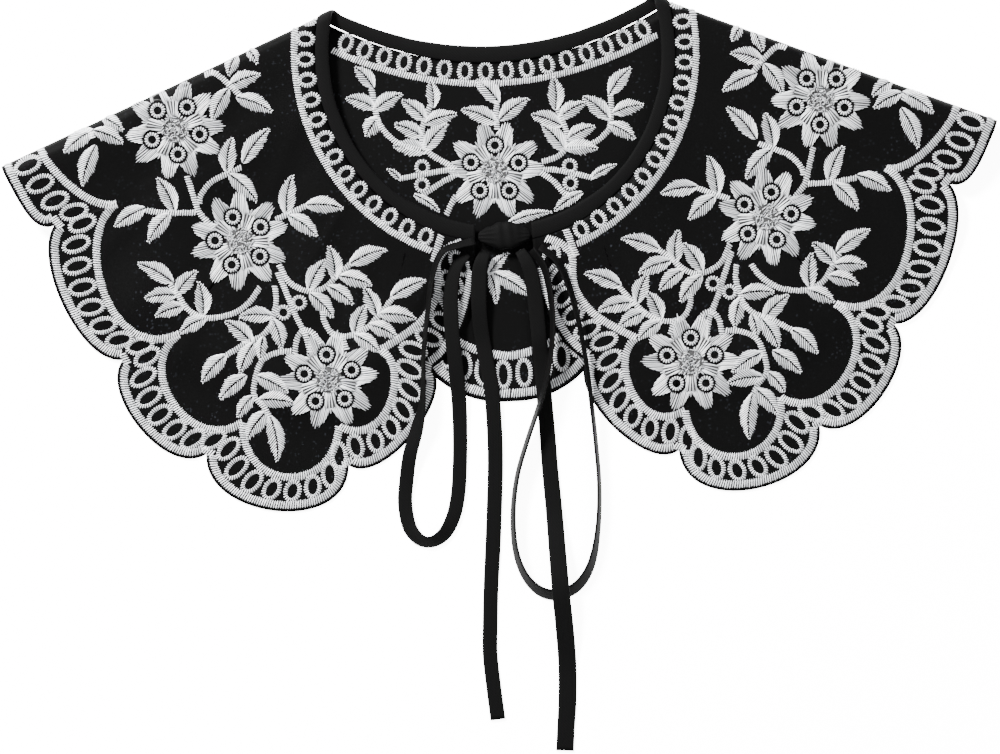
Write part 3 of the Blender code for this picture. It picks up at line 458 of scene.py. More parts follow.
class Finish:
    """A material made from nodes, with constant values on the shader's own sockets."""

    def __init__(self, name: str, base: str, roughness: float, **sockets: float) -> None:
        """Starts a Principled material.

        Args:
            name: the material's name.
            base: sRGB hex code of its base colour.
            roughness: the shader's roughness.
            sockets: other inputs of the shader by name, with _ for a space.
        """
        self.material = bpy.data.materials.new(name)
        self.material.use_nodes = True
        self.tree = self.material.node_tree
        self.shader = self.tree.nodes["Principled BSDF"]
        self.shader.inputs["Base Color"].default_value = linear(base)
        self.shader.inputs["Roughness"].default_value = roughness
        for key, value in sockets.items():
            self.shader.inputs[key.replace("_", " ")].default_value = value

    def node(self, kind: str, links: dict | None = None, **values: object) -> bpy.types.Node:
        """Adds a node.

        Args:
            kind: the node's type without the ShaderNode prefix.
            links: input name or number to the socket that feeds it.
            values: properties of the node, or inputs by name with _ for a space.

        Returns:
            The new node.
        """
        made = self.tree.nodes.new("ShaderNode" + kind)
        for key, value in values.items():
            if hasattr(made, key):
                setattr(made, key, value)
            else:
                made.inputs[key.replace("_", " ")].default_value = value
        for key, socket in (links or {}).items():
            self.tree.links.new(socket, made.inputs[key])
        return made

    def feed(self, name: str, socket: bpy.types.NodeSocket) -> None:
        """Links a socket to one of the shader's inputs."""
        self.tree.links.new(socket, self.shader.inputs[name])

    def dress(self, obj: bpy.types.Object) -> None:
        """Puts the material on an object as its only one."""
        obj.data.materials.clear()
        obj.data.materials.append(self.material)


def make_organza() -> Finish:
    """Black organza: a fine plain weave with a faint sheen, and rare glints painted into its base colour as
    painted highlights.
    """
    finish = Finish("black_organza", "#030303", 0.5, Specular_IOR_Level=0.012)
    place = finish.node("TexCoord").outputs["Object"]
    weave = []
    for direction in ("X", "Y"):
        weave.append(finish.node("TexWave", {"Vector": place}, wave_type="BANDS", bands_direction=direction,
                                 Scale=900.0, Distortion=0.6, Detail=1.0, Detail_Scale=2.0))
    both = finish.node("Math", {0: weave[0].outputs["Fac"], 1: weave[1].outputs["Fac"]}, operation="MULTIPLY")
    bump = finish.node("Bump", {"Height": both.outputs[0]}, Strength=0.35, Distance=0.0001)
    finish.feed("Normal", bump.outputs["Normal"])
    # Painted highlights: rare tiny cells, in noisy patches, lift the base colour towards a grey-blue glint.
    cells = finish.node("TexVoronoi", {"Vector": place}, Scale=1400.0)
    rare = finish.node("Math", {0: cells.outputs["Color"]}, operation="GREATER_THAN")
    rare.inputs[1].default_value = 0.86
    mottle = finish.node("TexNoise", {"Vector": place}, Scale=30.0, Detail=3.0)
    patch = finish.node("MapRange", {"Value": mottle.outputs["Fac"]}, From_Min=0.42, From_Max=0.7,
                        To_Min=0.0, To_Max=0.5)
    share = finish.node("Math", {0: rare.outputs[0], 1: patch.outputs[0]}, operation="MULTIPLY")
    colour = finish.node("Mix", data_type="RGBA")
    for socket, code in zip((s for s in colour.inputs if s.type == "RGBA"), ("#030303", "#1C1E22")):
        socket.default_value = linear(code)
    finish.tree.links.new(share.outputs[0], colour.inputs[0])
    finish.feed("Base Color", next(s for s in colour.outputs if s.type == "RGBA"))
    return finish


def make_binding_cloth() -> Finish:
    """Matt black woven tape and bias binding, with fine diagonal ribs."""
    finish = Finish("black_binding", "#040404", 0.7, Specular_IOR_Level=0.018)
    place = finish.node("TexCoord").outputs["Object"]
    twill = finish.node("TexWave", {"Vector": place}, wave_type="BANDS", bands_direction="DIAGONAL",
                        Scale=480.0, Distortion=0.8, Detail=2.0, Detail_Scale=3.0)
    bump = finish.node("Bump", {"Height": twill.outputs["Fac"]}, Strength=0.3, Distance=0.00015)
    finish.feed("Normal", bump.outputs["Normal"])
    return finish


def make_thread() -> Finish:
    """Silver-white satin thread, whose tone is kept on each stitch; the tone holds painted shade on the
    stitches' ends and flanks and painted sheen by their direction.
    """
    finish = Finish("silver_embroidery", "#DADADC", 0.42, Sheen_Weight=0.15, Specular_IOR_Level=0.45)
    tone = finish.node("Attribute", attribute_name="tone")
    ramp = finish.node("ValToRGB", {"Fac": tone.outputs["Fac"]})
    ramp.color_ramp.elements[0].color = linear("#060607")
    ramp.color_ramp.elements[1].color = linear("#FFFFFF")
    ramp.color_ramp.elements.new(0.5).color = linear("#8E9093")
    finish.feed("Base Color", ramp.outputs["Color"])
    lines = finish.node("TexCoord").outputs["UV"]
    strands = finish.node("TexWave", {"Vector": lines}, wave_type="BANDS", bands_direction="X",
                          Scale=0.8, Distortion=0.4, Detail=1.0)
    bump = finish.node("Bump", {"Height": strands.outputs["Fac"]}, Strength=0.25, Distance=0.0001)
    finish.feed("Normal", bump.outputs["Normal"])
    return finish


class Half(Enum):
    """The two halves of the collar in the photograph."""

    RIGHT = 1
    LEFT = -1


ALONG = np.array([math.cos(FOLD_SLOPE), -math.sin(FOLD_SLOPE)])
INWARD = np.array([-math.sin(FOLD_SLOPE), -math.cos(FOLD_SLOPE)])
SHOULDER = np.array([SHOULDER_X, 0.0])


@dataclass
class CollarPlan:
    """Plan and heights of the cloth: the same curves as the solid, on a finer grid.

    Attributes:
        finer: columns here for each column of the solid.
        fold_steps: steps of the grid round a shoulder fold.
    """

    finer: int = 4
    fold_steps: int = 20

    def fold_place(self, s: np.ndarray, d: np.ndarray) -> np.ndarray:
        """Plan point at distance s along the right fold and d inside it."""
        return SHOULDER + np.multiply.outer(s, ALONG) + np.multiply.outer(d, INWARD)

    def fold_value(self, pair: tuple[float, float], s: np.ndarray) -> np.ndarray:
        """A size that changes evenly along the fold from the neck to the tip."""
        return pair[0] + (pair[1] - pair[0]) * np.clip(s / FOLD_LENGTH, 0.0, 1.0)

    def front_neck(self, t: np.ndarray) -> np.ndarray:
        """Front neckline: a quarter oval, at angle t below the horizontal."""
        return np.stack([NECK_HALF_WIDTH * np.cos(t), NECK_CENTRE_Y - NECK_DEPTH * np.sin(t)], axis=-1)

    def back_neck(self, x: np.ndarray) -> np.ndarray:
        """Back neckline: a shallow parabola between the two shoulder points."""
        x = np.asarray(x, dtype=float)
        return np.stack([x, -BACK_NECK_DROP * (1 - (x / SHOULDER_X) ** 2)], axis=-1)

    def solve(self, curve, low: float, high: float) -> float:
        """Parameter where a curve lies just inside the fold, by bisection."""
        for _ in range(BISECTIONS):
            middle = (low + high) / 2
            rel = curve(middle) - SHOULDER
            if rel @ INWARD < self.fold_value(FOLD_REACH, rel @ ALONG):
                low = middle
            else:
                high = middle
        return (low + high) / 2

    def humps(self, table: tuple, x: np.ndarray, y: np.ndarray) -> np.ndarray:
        """Sum of long round humps: height times exp(-(u/length)^2 - (v/width)^2) for each row."""
        total = np.zeros_like(x)
        for bx, by, degrees, length, width, height in table:
            angle = math.radians(degrees)
            u = (x - bx) * math.cos(angle) + (y - by) * math.sin(angle)
            v = -(x - bx) * math.sin(angle) + (y - by) * math.cos(angle)
            total += height * np.exp(-(u / length) ** 2 - (v / width) ** 2)
        return total

    def resting_height(self, x: np.ndarray, y: np.ndarray) -> np.ndarray:
        """Height of the middle of a front's cloth inside the fold, with its buckles and creases."""
        ax = np.abs(x)
        rel = np.stack([ax, y], axis=-1) - SHOULDER
        s, d = rel @ ALONG, rel @ INWARD
        inside = np.maximum(d - self.fold_value(FOLD_REACH, s), 0.0)
        oval = np.hypot(ax / BACK_OVAL[0], y / BACK_OVAL[1])
        rest = LAYER_REST + (HALF_WALL - LAYER_REST) * smooth(oval, *SETTLE)
        crest = HALF_WALL + self.fold_value(FOLD_RISE, s)
        fold_share = 1 / (1 + (inside / FOLD_RELAX) ** 2)
        from_neck = (np.hypot(ax / NECK_HALF_WIDTH, (y - NECK_CENTRE_Y) / NECK_DEPTH) - 1) * NECK_DEPTH
        neck = NECK_LIFT * np.exp(-(np.maximum(from_neck, 0) / NECK_LIFT_REACH) ** 2)
        loose = smooth(inside, 0.0, LOOSE_FROM_FOLD) * (1 - smooth(oval, *LOOSE_EDGE) * LOOSE_EDGE_LOSS)
        soft = self.humps(BUCKLES, x, y) + self.humps(CREASES, x, y)
        return rest + (crest - rest) * fold_share + neck * (1 - fold_share) + soft * loose

    def front_height(self, x: np.ndarray, y: np.ndarray) -> np.ndarray:
        """Height of the middle of the front cloth, also over the upper half of a fold's round nose.

        On the nose, at share q of its reach, the height is floor + (top - floor)(1 + sqrt(1-(1-q)^2))/2.
        """
        sign = np.where(x < 0, -1.0, 1.0)
        rel = np.stack([np.abs(x), y], axis=-1) - SHOULDER
        s, d = rel @ ALONG, rel @ INWARD
        reach = self.fold_value(FOLD_REACH, s)
        moved = SHOULDER + s[..., None] * ALONG + np.maximum(d, reach)[..., None] * INWARD
        top = self.resting_height(sign * moved[..., 0], moved[..., 1])
        q = np.clip(d / reach, 0.02, 1.0)
        share = np.sqrt(1 - (1 - q) ** 2)
        return np.where(d < reach, HALF_WALL + (top - HALF_WALL) * (1 + share) / 2, top)

    def front_normal(self, x: np.ndarray, y: np.ndarray) -> np.ndarray:
        """Upward normal of the front's cloth, from its slope."""
        h = SLOPE_PROBE
        slope_x = (self.front_height(x + h, y) - self.front_height(x - h, y)) / (2 * h)
        slope_y = (self.front_height(x, y + h) - self.front_height(x, y - h)) / (2 * h)
        return unit(np.stack([-slope_x, -slope_y, np.ones_like(slope_x)], axis=-1))

    def bulge(self, start: np.ndarray, end: np.ndarray, from_start: tuple, from_end: tuple,
              t: np.ndarray) -> np.ndarray:
        """Cubic curve over a chord, with handles given as (along, outwards) from the chord's ends."""
        chord = unit(end - start)
        outwards = np.array([chord[1], -chord[0]])
        if outwards @ (start + end) < 0 or outwards[1] > 0.9:
            outwards = -outwards
        p1 = start + from_start[0] * chord + from_start[1] * outwards
        p2 = end + from_end[0] * chord + from_end[1] * outwards
        t = t[:, None]
        return (1 - t) ** 3 * start + 3 * (1 - t) ** 2 * t * p1 + 3 * (1 - t) * t * t * p2 + t ** 3 * end

    def scallops(self, table: tuple, steps: int = 40) -> list[tuple[np.ndarray, np.ndarray]]:
        """Edge and inner rail of each scallop of the right half, from the fold onwards."""
        start_edge = self.fold_place(FOLD_LENGTH, FOLD_REACH[1])
        start_rail = self.fold_place(FOLD_RAIL, self.fold_value(FOLD_REACH, FOLD_RAIL))
        t = np.linspace(0, 1, steps)
        found = []
        for notch, cusp, edge_start, edge_end, rail_start, rail_end, _, _ in table:
            edge = self.bulge(start_edge, np.array(notch), edge_start, edge_end, t)
            rail = self.bulge(start_rail, np.array(cusp), rail_start, rail_end, t)
            found.append((edge, rail))
            start_edge, start_rail = edge[-1], rail[-1]
        return found

    def half_panel(self, table: tuple, curve, slope, start: float, finish: float, rows: tuple) -> np.ndarray:
        """Plan grid of one half panel.

        Args:
            table: the panel's scallops.
            curve: its neckline, from one parameter.
            slope: direction of that neckline.
            start: the neckline's parameter at the fold.
            finish: its parameter at the panel's other end.
            rows: (offset from the neckline, share towards the edge) of each row.

        Returns:
            (columns, rows, 2) points.
        """
        first_edge = self.fold_place(FOLD_LENGTH, FOLD_REACH[1])
        first_rail = self.fold_place(FOLD_RAIL, self.fold_value(FOLD_REACH, FOLD_RAIL))
        edge, rail, share = [first_edge[None]], [first_rail[None]], [np.zeros(1)]
        start_edge, start_rail, start_share = first_edge, first_rail, 0.0
        for notch, cusp, edge_start, edge_end, rail_start, rail_end, neck_share, columns in table:
            t = np.arange(1, columns * self.finer + 1) / (columns * self.finer)
            edge.append(self.bulge(start_edge, np.array(notch), edge_start, edge_end, t))
            rail.append(self.bulge(start_rail, np.array(cusp), rail_start, rail_end, t))
            share.append(start_share + (neck_share - start_share) * t)
            start_edge, start_rail, start_share = np.array(notch), np.array(cusp), neck_share
        edge, rail, share = np.concatenate(edge), np.concatenate(rail), np.concatenate(share)
        place = start + (finish - start) * share
        neck, tangent = curve(place), unit(slope(place))
        rib = unit(rail - neck)
        lean = np.abs(rib[:, 0] * tangent[:, 1] - rib[:, 1] * tangent[:, 0])[:, None]
        made = []
        for offset, towards in rows:
            first = neck + rib * offset / lean
            if towards <= 1.0:
                made.append(first + (rail - first) * towards)
            else:
                made.append(rail + (edge - rail) * (towards - 1.0))
        return np.stack(made, axis=1)

    def panels(self, rows: tuple) -> tuple[np.ndarray, np.ndarray]:
        """Plan grids of the right front and of the right half of the back, from the fold on."""
        def front_slope(t: np.ndarray) -> np.ndarray:
            """Direction of the front neckline."""
            return np.stack([-NECK_HALF_WIDTH * np.sin(t), -NECK_DEPTH * np.cos(t)], axis=-1)

        def back_slope(x: np.ndarray) -> np.ndarray:
            """Direction of the back neckline."""
            return np.stack([np.ones_like(x), 2 * BACK_NECK_DROP * x / SHOULDER_X ** 2], axis=-1)

        t_fold = self.solve(self.front_neck, math.radians(-14.4), math.radians(20.0))
        t_end = math.acos(NECK_END_X / NECK_HALF_WIDTH)
        x_fold = self.solve(self.back_neck, SHOULDER_X, SHOULDER_X - 20.0)
        front = self.half_panel(FRONT_SCALLOPS, self.front_neck, front_slope, t_fold, t_end, rows)
        back = self.half_panel(BACK_SCALLOPS, self.back_neck, back_slope, x_fold, 0.0, rows)
        return front, back

    def half_ring(self, front: np.ndarray, back: np.ndarray, floor: float,
                  half: Half) -> tuple[np.ndarray, np.ndarray]:
        """Middle points and right-side normals of half the collar, from the back's centre to the bow.

        Args:
            front: plan grid of the right front.
            back: plan grid of the right half of the back.
            floor: height of the back layer's middle.
            half: which half is made.

        Returns:
            (columns, rows, 3) points and normals.
        """
        side = half.value
        back = back[::-1]
        theta = (math.pi * np.arange(1, self.fold_steps) / self.fold_steps)[:, None]
        s_back, s_front = (back[-1] - SHOULDER) @ ALONG, (front[0] - SHOULDER) @ ALONG
        s = s_back + (s_front - s_back) * theta / math.pi
        reach = self.fold_value(FOLD_REACH, s)
        nose = self.fold_place(s, 0.0) + (reach * (1 - np.sin(theta)))[..., None] * INWARD
        top = self.front_height(side * front[..., 0], front[..., 1])
        nose_top = floor + (top[0] - floor) * (1 - np.cos(theta)) / 2
        plan = np.concatenate([back, nose, front])
        height = np.concatenate([np.full(back.shape[:2], floor), nose_top, top])
        down = np.zeros(back.shape[:2] + (3,))
        down[..., 2] = -1
        round_normal = np.concatenate([np.sin(theta)[..., None] * -INWARD + 0 * nose,
                                       (0 * s - np.cos(theta))[..., None]], axis=-1)
        up = self.front_normal(side * front[..., 0], front[..., 1]) * (side, 1, 1)
        normal = np.concatenate([down, round_normal, up])
        points = np.concatenate([plan, height[..., None]], axis=-1)
        return points * (side, 1, 1), normal * (side, 1, 1)

    def full_ring(self, front: np.ndarray, back: np.ndarray, floor: float) -> tuple[np.ndarray, np.ndarray]:
        """Middle points and normals of the whole collar, from the left front's edge to the right's."""
        left = self.half_ring(front, back, floor, Half.LEFT)
        right = self.half_ring(front, back, floor, Half.RIGHT)
        return tuple(np.concatenate([a[:0:-1], b]) for a, b in zip(left, right))


@dataclass
class ClothShell:
    """The organza itself, as one thin closed shell on the middle of its solid.

    Attributes:
        plan: the collar's curves.
        thick: thickness of the shown cloth.
        neck_start: offset of the cloth's first row from the neckline, just under the binding's side.
        field_rows: rows between the binding and the inner rail.
        band_rows: rows of the border band.
    """

    plan: CollarPlan
    thick: float = 0.34
    neck_start: float = 3.4
    field_rows: int = 26
    band_rows: int = 9

    def build(self, finish: Finish) -> bpy.types.Object:
        rows = [(self.neck_start, share) for share in np.linspace(0, 1, self.field_rows)]
        rows += [(self.neck_start, 1 + share) for share in np.linspace(0, 1, self.band_rows)[1:]]
        front, back = self.plan.panels(tuple(rows))
        middle, normal = self.plan.full_ring(front, back, HALF_WALL)
        outer = middle + normal * self.thick / 2
        inner = middle - normal * self.thick / 2
        columns, count = middle.shape[:2]
        total = columns * count
        faces = np.concatenate([grid_quads(columns, count), grid_quads(columns, count, total)[:, ::-1],
                                self.rim(columns, count)])
        made = quad_mesh("organza_cloth", np.concatenate([outer.reshape(-1, 3), inner.reshape(-1, 3)]), faces)
        finish.dress(made)
        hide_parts("collar_body")
        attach(made, "root")
        return made

    def rim(self, columns: int, rows: int) -> np.ndarray:
        """Quads that close the shell along its four edges."""
        border = [c * rows for c in range(columns)]
        border += [(columns - 1) * rows + r for r in range(1, rows)]
        border += [c * rows + rows - 1 for c in range(columns - 2, -1, -1)]
        border += [r for r in range(rows - 2, 0, -1)]
        a = np.array(border)
        b = np.roll(a, -1)
        total = columns * rows
        return np.stack([a, a + total, b + total, b], axis=1)


@dataclass(frozen=True)
class Look:
    """How a run of satin stitches is worked.

    Attributes:
        pitch: distance between two stitches.
        width: width of a stitch.
        height: height of a stitch's ridge above the cloth.
        tone: brightness from 0 to 1.
        spread: how much the tone changes from stitch to stitch.
        ragged: how unevenly the stitches end.
    """

    pitch: float = 1.04
    width: float = 0.7
    height: float = 0.75
    tone: float = 0.9
    spread: float = 0.14
    ragged: float = 0.22


# Brightness along a stitch and across it: its ends and flanks lie in the shade of the stitches beside it
STITCH_END_SHADE = (0.7, 1.0, 1.0, 1.0, 0.7)
STITCH_SIDE_SHADE = (0.12, 1.0, 0.12)
# Satin thread shines most where it lies across the light: share of its brightness, and the light's direction
SATIN_SHEEN = 0.34
LIGHT_FROM = np.array([-0.62, 0.78])

RAIL = Look(ragged=0.3)
OVAL = Look(pitch=1.0, width=0.68, height=0.85, tone=0.92, ragged=0.25)
STEM = Look(pitch=1.04, width=0.74, height=0.8, tone=0.92, ragged=0.3)
# The two leaf halves differ in stitching, and in tone as painted sheen on the close half and painted shade on
# the open one.
LEAF_CLOSE = Look(pitch=1.02, width=0.7, height=0.8, tone=0.97, ragged=0.5)
LEAF_OPEN = Look(pitch=1.12, width=0.6, height=0.7, tone=0.84, spread=0.16, ragged=0.7)
# The two petal looks differ a little in stitching, and in tone as painted sheen and painted shade on the same
# silver thread.
PETAL_LIT = Look(pitch=1.02, width=0.7, height=1.1, tone=0.97, ragged=0.7)
PETAL_SHADED = Look(pitch=1.1, width=0.62, height=1.0, tone=0.76, spread=0.2, ragged=0.9)
EYELET = Look(pitch=1.0, width=0.78, height=1.3, tone=0.95, ragged=0.12)
HEART = Look(width=0.55, height=1.5, tone=0.8, spread=0.2)


@dataclass
class Embroidery:
    """Satin stitches gathered as rows of numbers and made into one mesh.

    Attributes:
        plan: the collar's curves.
        on_back: whether the stitches lie on the inside of the back and not on a front.
        rng: source of small irregularities.
        stitches: arrays of (x0, y0, x1, y1, width, height, tone), one row a stitch.
        pads: pairs of edges of the padding below the stitches, each with its height; the padding is coloured
            near black as painted shade between the stitches.
    """

    plan: CollarPlan
    on_back: bool = False
    rng: np.random.Generator = field(default_factory=lambda: np.random.default_rng(11))
    stitches: list[np.ndarray] = field(default_factory=list)
    pads: list[tuple[np.ndarray, np.ndarray, float]] = field(default_factory=list)

    def satin(self, first: np.ndarray, second: np.ndarray, look: Look, pad: bool = True) -> None:
        """Covers the strip between two edges with stitches that run from one edge to the other.

        Args:
            first: (n, 2) plan points of one edge.
            second: (n, 2) points of the other edge, each facing its partner.
            look: how the stitches are worked.
            pad: whether a low pad fills the strip below them.
        """
        length = arc((first + second) / 2)
        count = max(2, int(round(length[-1] / look.pitch)))
        place = (np.arange(count) + 0.5) / count * length[-1]
        a = np.stack([np.interp(place, length, first[:, k]) for k in (0, 1)], axis=1)
        b = np.stack([np.interp(place, length, second[:, k]) for k in (0, 1)], axis=1)
        along = unit(b - a)
        a = a - along * self.rng.uniform(-0.3, 1.0, (count, 1)) * look.ragged * 0.5
        b = b + along * self.rng.uniform(-0.3, 1.0, (count, 1)) * look.ragged
        width = look.width * self.rng.uniform(0.9, 1.08, count)
        height = look.height * self.rng.uniform(0.88, 1.1, count)
        tone = np.clip(look.tone + look.spread * self.rng.uniform(-1, 1, count), 0.05, 1.0)
        self.stitches.append(np.column_stack([a, b, width, height, tone]))
        if pad:
            self.pads.append((first * 0.94 + second * 0.06, second * 0.94 + first * 0.06, look.height * 0.3))

    def line(self, path: np.ndarray, width: float, look: Look, lean: float = 0.18) -> None:
        """A satin-stitched line of even width along a path, its stitches leaning a little."""
        path = resample(path, 0.7)
        across = sideways(path) * width / 2
        tilt = unit(np.gradient(path, axis=0)) * width / 2 * lean
        self.satin(path - across - tilt, path + across + tilt, look)

    def ring(self, centre: np.ndarray, axis: np.ndarray, outer: tuple[float, float],
             inner: tuple[float, float], look: Look) -> None:
        """A stitched oval ring.

        Args:
            centre: its middle.
            axis: direction of its long axis.
            outer: outer half length and half width.
            inner: half length and half width of its slot.
            look: how the stitches are worked.
        """
        turn = np.linspace(0, 2 * math.pi, 73)
        side = np.array([-axis[1], axis[0]])
        edges = []
        for length, width in (inner, outer):
            edges.append(centre + np.outer(np.cos(turn) * length, axis)
                         + np.outer(np.sin(turn) * width, side))
        self.satin(edges[0], edges[1], look)

    def leaf(self, base: np.ndarray, tip: np.ndarray, flip: bool, width: float = 0.0) -> None:
        """A pointed leaf of two stitched halves beside a dark midrib, one close and bright with painted
        sheen, the other open and dimmer with painted shade.

        Half the width at share t of the midrib is width/2 times sin(pi t^0.82), and each stitch slants from
        the midrib towards the tip.

        Args:
            base: plan point where it joins its stem.
            tip: its other end.
            flip: which way it bends, and which half is the bright one.
            width: its full width, or 0 to take it from the length.
        """
        along = unit(tip - base)
        base, tip = base - along * 1.3, tip + along * 0.8
        side = np.array([-along[1], along[0]])
        length = float(np.linalg.norm(tip - base))
        width = width or float(np.clip(length * 0.34 + 2.0, 4.4, 7.6))
        t = np.linspace(0, 1, 34)
        bow = side * (0.06 * length * (1 if flip else -1))
        half = width / 2 * np.sin(math.pi * t ** 0.82)
        behind = np.maximum(t - half * 0.85 / length, 0.0)
        gap = np.minimum(half * 0.3, 0.3)
        for sign in (1, -1):
            near = base + np.outer(behind, tip - base) + np.outer(np.sin(math.pi * behind), bow)
            near = near + np.outer(gap * sign, side)
            outline = base + np.outer(t, tip - base) + np.outer(np.sin(math.pi * t), bow)
            outline = outline + np.outer(half * sign, side)
            self.satin(near[2:-1], outline[2:-1], LEAF_CLOSE if (sign > 0) == flip else LEAF_OPEN)

    def stem(self, points: tuple, width: float = 2.5) -> None:
        """A stitched stem through plan points."""
        self.line(smooth_route(np.array(points, dtype=float), 0.8), width, STEM)

    def flower(self, centre: np.ndarray, first_eyelet: float) -> None:
        """A flower of ten petals in five pairs, with an eyelet below each pair and a rough heart."""
        heart, eye_far, eye_outer, eye_hole, clear = 6.0, 11.0, 3.3, 1.75, 1.0
        degrees = np.arange(-36.0, 324.01, 1.5)
        local = (degrees + 36.0) % 72.0 - 36.0
        rim = np.interp(np.abs(local), (0, 8, 15.5, 26, 36), (16.4, 20.6, 21.9, 19.4, 13.8))
        phi = np.radians(first_eyelet + degrees)
        off = eye_far * np.sin(np.radians(local))
        reach = np.sqrt(np.maximum((eye_outer + clear) ** 2 - off ** 2, 0.0))
        beside = np.abs(off) >= eye_outer + clear
        near = np.where(beside, 13.0, eye_far * np.cos(np.radians(local)) - reach)
        far = np.where(beside, 12.4, eye_far * np.cos(np.radians(local)) + reach)
        ray = np.stack([np.cos(phi), np.sin(phi)], axis=1)
        swirl = np.stack([-np.sin(phi), np.cos(phi)], axis=1)
        for k in range(10):
            petal = (degrees >= -36 + 36 * k - 0.1) & (degrees <= 36 * k + 0.1)
            # Alternate petals, and the inner part of each, take the painted-sheen and the painted-shade look.
            look = PETAL_LIT if k % 2 == 0 else PETAL_SHADED
            inner_look = PETAL_SHADED if k % 2 == 0 else PETAL_LIT
            tip = -15.5 if k % 2 == 0 else 15.5
            pull = np.radians(tip - local[petal])[:, None] * 0.22
            outline = centre + ray[petal] * rim[petal, None] + swirl[petal] * rim[petal, None] * pull
            self.satin(centre + ray[petal] * far[petal, None], outline, look)
            inside = petal & (near - heart > 0.8)
            if inside.sum() > 3:
                self.satin(centre + ray[inside] * (heart - 0.3),
                           centre + ray[inside] * near[inside, None], inner_look)
        for k in range(5):
            angle = math.radians(first_eyelet + 72 * k)
            place = centre + eye_far * np.array([math.cos(angle), math.sin(angle)])
            self.ring(place, np.array([1.0, 0.0]), (eye_outer, eye_outer), (eye_hole, eye_hole), EYELET)
        self.seeds(centre, heart, 130, HEART)

    def seeds(self, centre: np.ndarray, radius: float, count: int, look: Look) -> None:
        """Short rough stitches strewn over a round heart, uneven in tone, length and direction."""
        turn = np.linspace(0, 2 * math.pi, 41)
        ray = np.stack([np.cos(turn), np.sin(turn)], axis=1)
        self.pads.append((centre + ray * 0.1, centre + ray * radius, look.height * 0.3))
        far = radius * np.sqrt(self.rng.uniform(0, 1, count))
        place, lie = self.rng.uniform(0, 2 * math.pi, (2, count))
        middle = centre + np.stack([far * np.cos(place), far * np.sin(place)], axis=1)
        reach = np.stack([np.cos(lie), np.sin(lie)], axis=1) * self.rng.uniform(0.5, 1.1, (count, 1))
        width = look.width * self.rng.uniform(0.6, 1.0, count)
        height = look.height * self.rng.uniform(0.5, 1.2, count)
        tone = np.clip(look.tone + look.spread * self.rng.uniform(-1, 1, count), 0.05, 1.0)
        self.stitches.append(np.column_stack([middle - reach, middle + reach, width, height, tone]))

    def lift(self, xy: np.ndarray, up: np.ndarray) -> np.ndarray:
        """Points at a height above the cloth's shown side.

        Args:
            xy: (..., 2) plan points.
            up: height of each point above the cloth.

        Returns:
            (..., 3) points in plan millimetres.
        """
        base = ClothShell.thick / 2
        if self.on_back:
            return np.concatenate([xy, (HALF_WALL + base + up)[..., None]], axis=-1)
        rel = np.stack([np.abs(xy[..., 0]), xy[..., 1]], axis=-1) - SHOULDER
        s, d = rel @ ALONG, rel @ INWARD
        short = np.maximum(0.06 * self.plan.fold_value(FOLD_REACH, s) - d, 0.0)
        move = short[..., None] * INWARD
        x = xy[..., 0] + np.where(xy[..., 0] < 0, -1.0, 1.0) * move[..., 0]
        y = xy[..., 1] + move[..., 1]
        normal = self.plan.front_normal(x, y)
        points = np.stack([x, y, self.plan.front_height(x, y)], axis=-1)
        return points + normal * (base + up)[..., None]

    def build(self, name: str, finish: Finish, *nodes: str) -> bpy.types.Object:
        """Makes the mesh of all stitches and pads.

        Args:
            name: the piece's name.
            finish: its thread.
            nodes: the solids that it stands for.

        Returns:
            The piece, riding on the body.
        """
        rows = np.concatenate(self.stitches)
        start, end = rows[:, 0:2], rows[:, 2:4]
        if not self.on_back:
            middle = (start + end) / 2
            rel = np.stack([np.abs(middle[:, 0]), middle[:, 1]], axis=-1) - SHOULDER
            rows = rows[rel @ INWARD > 0.25]
            start, end = rows[:, 0:2], rows[:, 2:4]
        along = unit(end - start)
        side = np.stack([-along[:, 1], along[:, 0]], axis=1)
        t = np.array([0.0, 0.14, 0.5, 0.86, 1.0])
        crown = np.array([0.12, 0.76, 1.0, 0.76, 0.12])
        wide = np.array([0.35, 0.9, 1.0, 0.9, 0.35])
        ridge = np.array([0.05, 1.0, 0.05])
        across = np.array([-0.5, 0.0, 0.5])
        count = len(rows)
        xy = start[:, None, None] + (end - start)[:, None, None] * t[None, :, None, None]
        shift = (rows[:, 4, None, None] * wide[None, :, None] * across[None, None, :])[..., None]
        xy = xy + shift * side[:, None, None]
        up = rows[:, 5, None, None] * crown[None, :, None] * ridge[None, None, :] + 0.02
        points = self.lift(xy, up).reshape(-1, 3)
        pattern = grid_quads(5, 3)
        quads = (np.arange(count)[:, None, None] * 15 + pattern[None]).reshape(-1, 4)
        # Painted shade on each stitch's ends and flanks, and painted sheen on stitches that lie across the
        # light, are multiplied into its tone.
        shade = np.outer(STITCH_END_SHADE, STITCH_SIDE_SHADE).ravel()
        facing = 1 - (along @ LIGHT_FROM) ** 2
        tone = ((rows[:, 6] * (1 - SATIN_SHEEN + SATIN_SHEEN * facing))[:, None] * shade[None, :]).ravel()
        long = np.linalg.norm(end - start, axis=1)
        strand = across[None, None, :] * 3.0 + np.arange(count)[:, None, None] * 0.37
        uv = np.stack(np.broadcast_arrays(strand, t[None, :, None] * long[:, None, None]),
                      axis=-1).reshape(-1, 2)
        vertices, faces, tones, maps = [points], [quads], [tone], [uv]
        offset = len(points)
        for first, second, up_pad in self.pads:
            grid = np.stack([first, (first + second) / 2, second], axis=1)
            high = np.full(grid.shape[:2], up_pad) * np.array([0.3, 1.0, 0.3])
            vertices.append(self.lift(grid, high).reshape(-1, 3))
            faces.append(grid_quads(len(first), 3, offset))
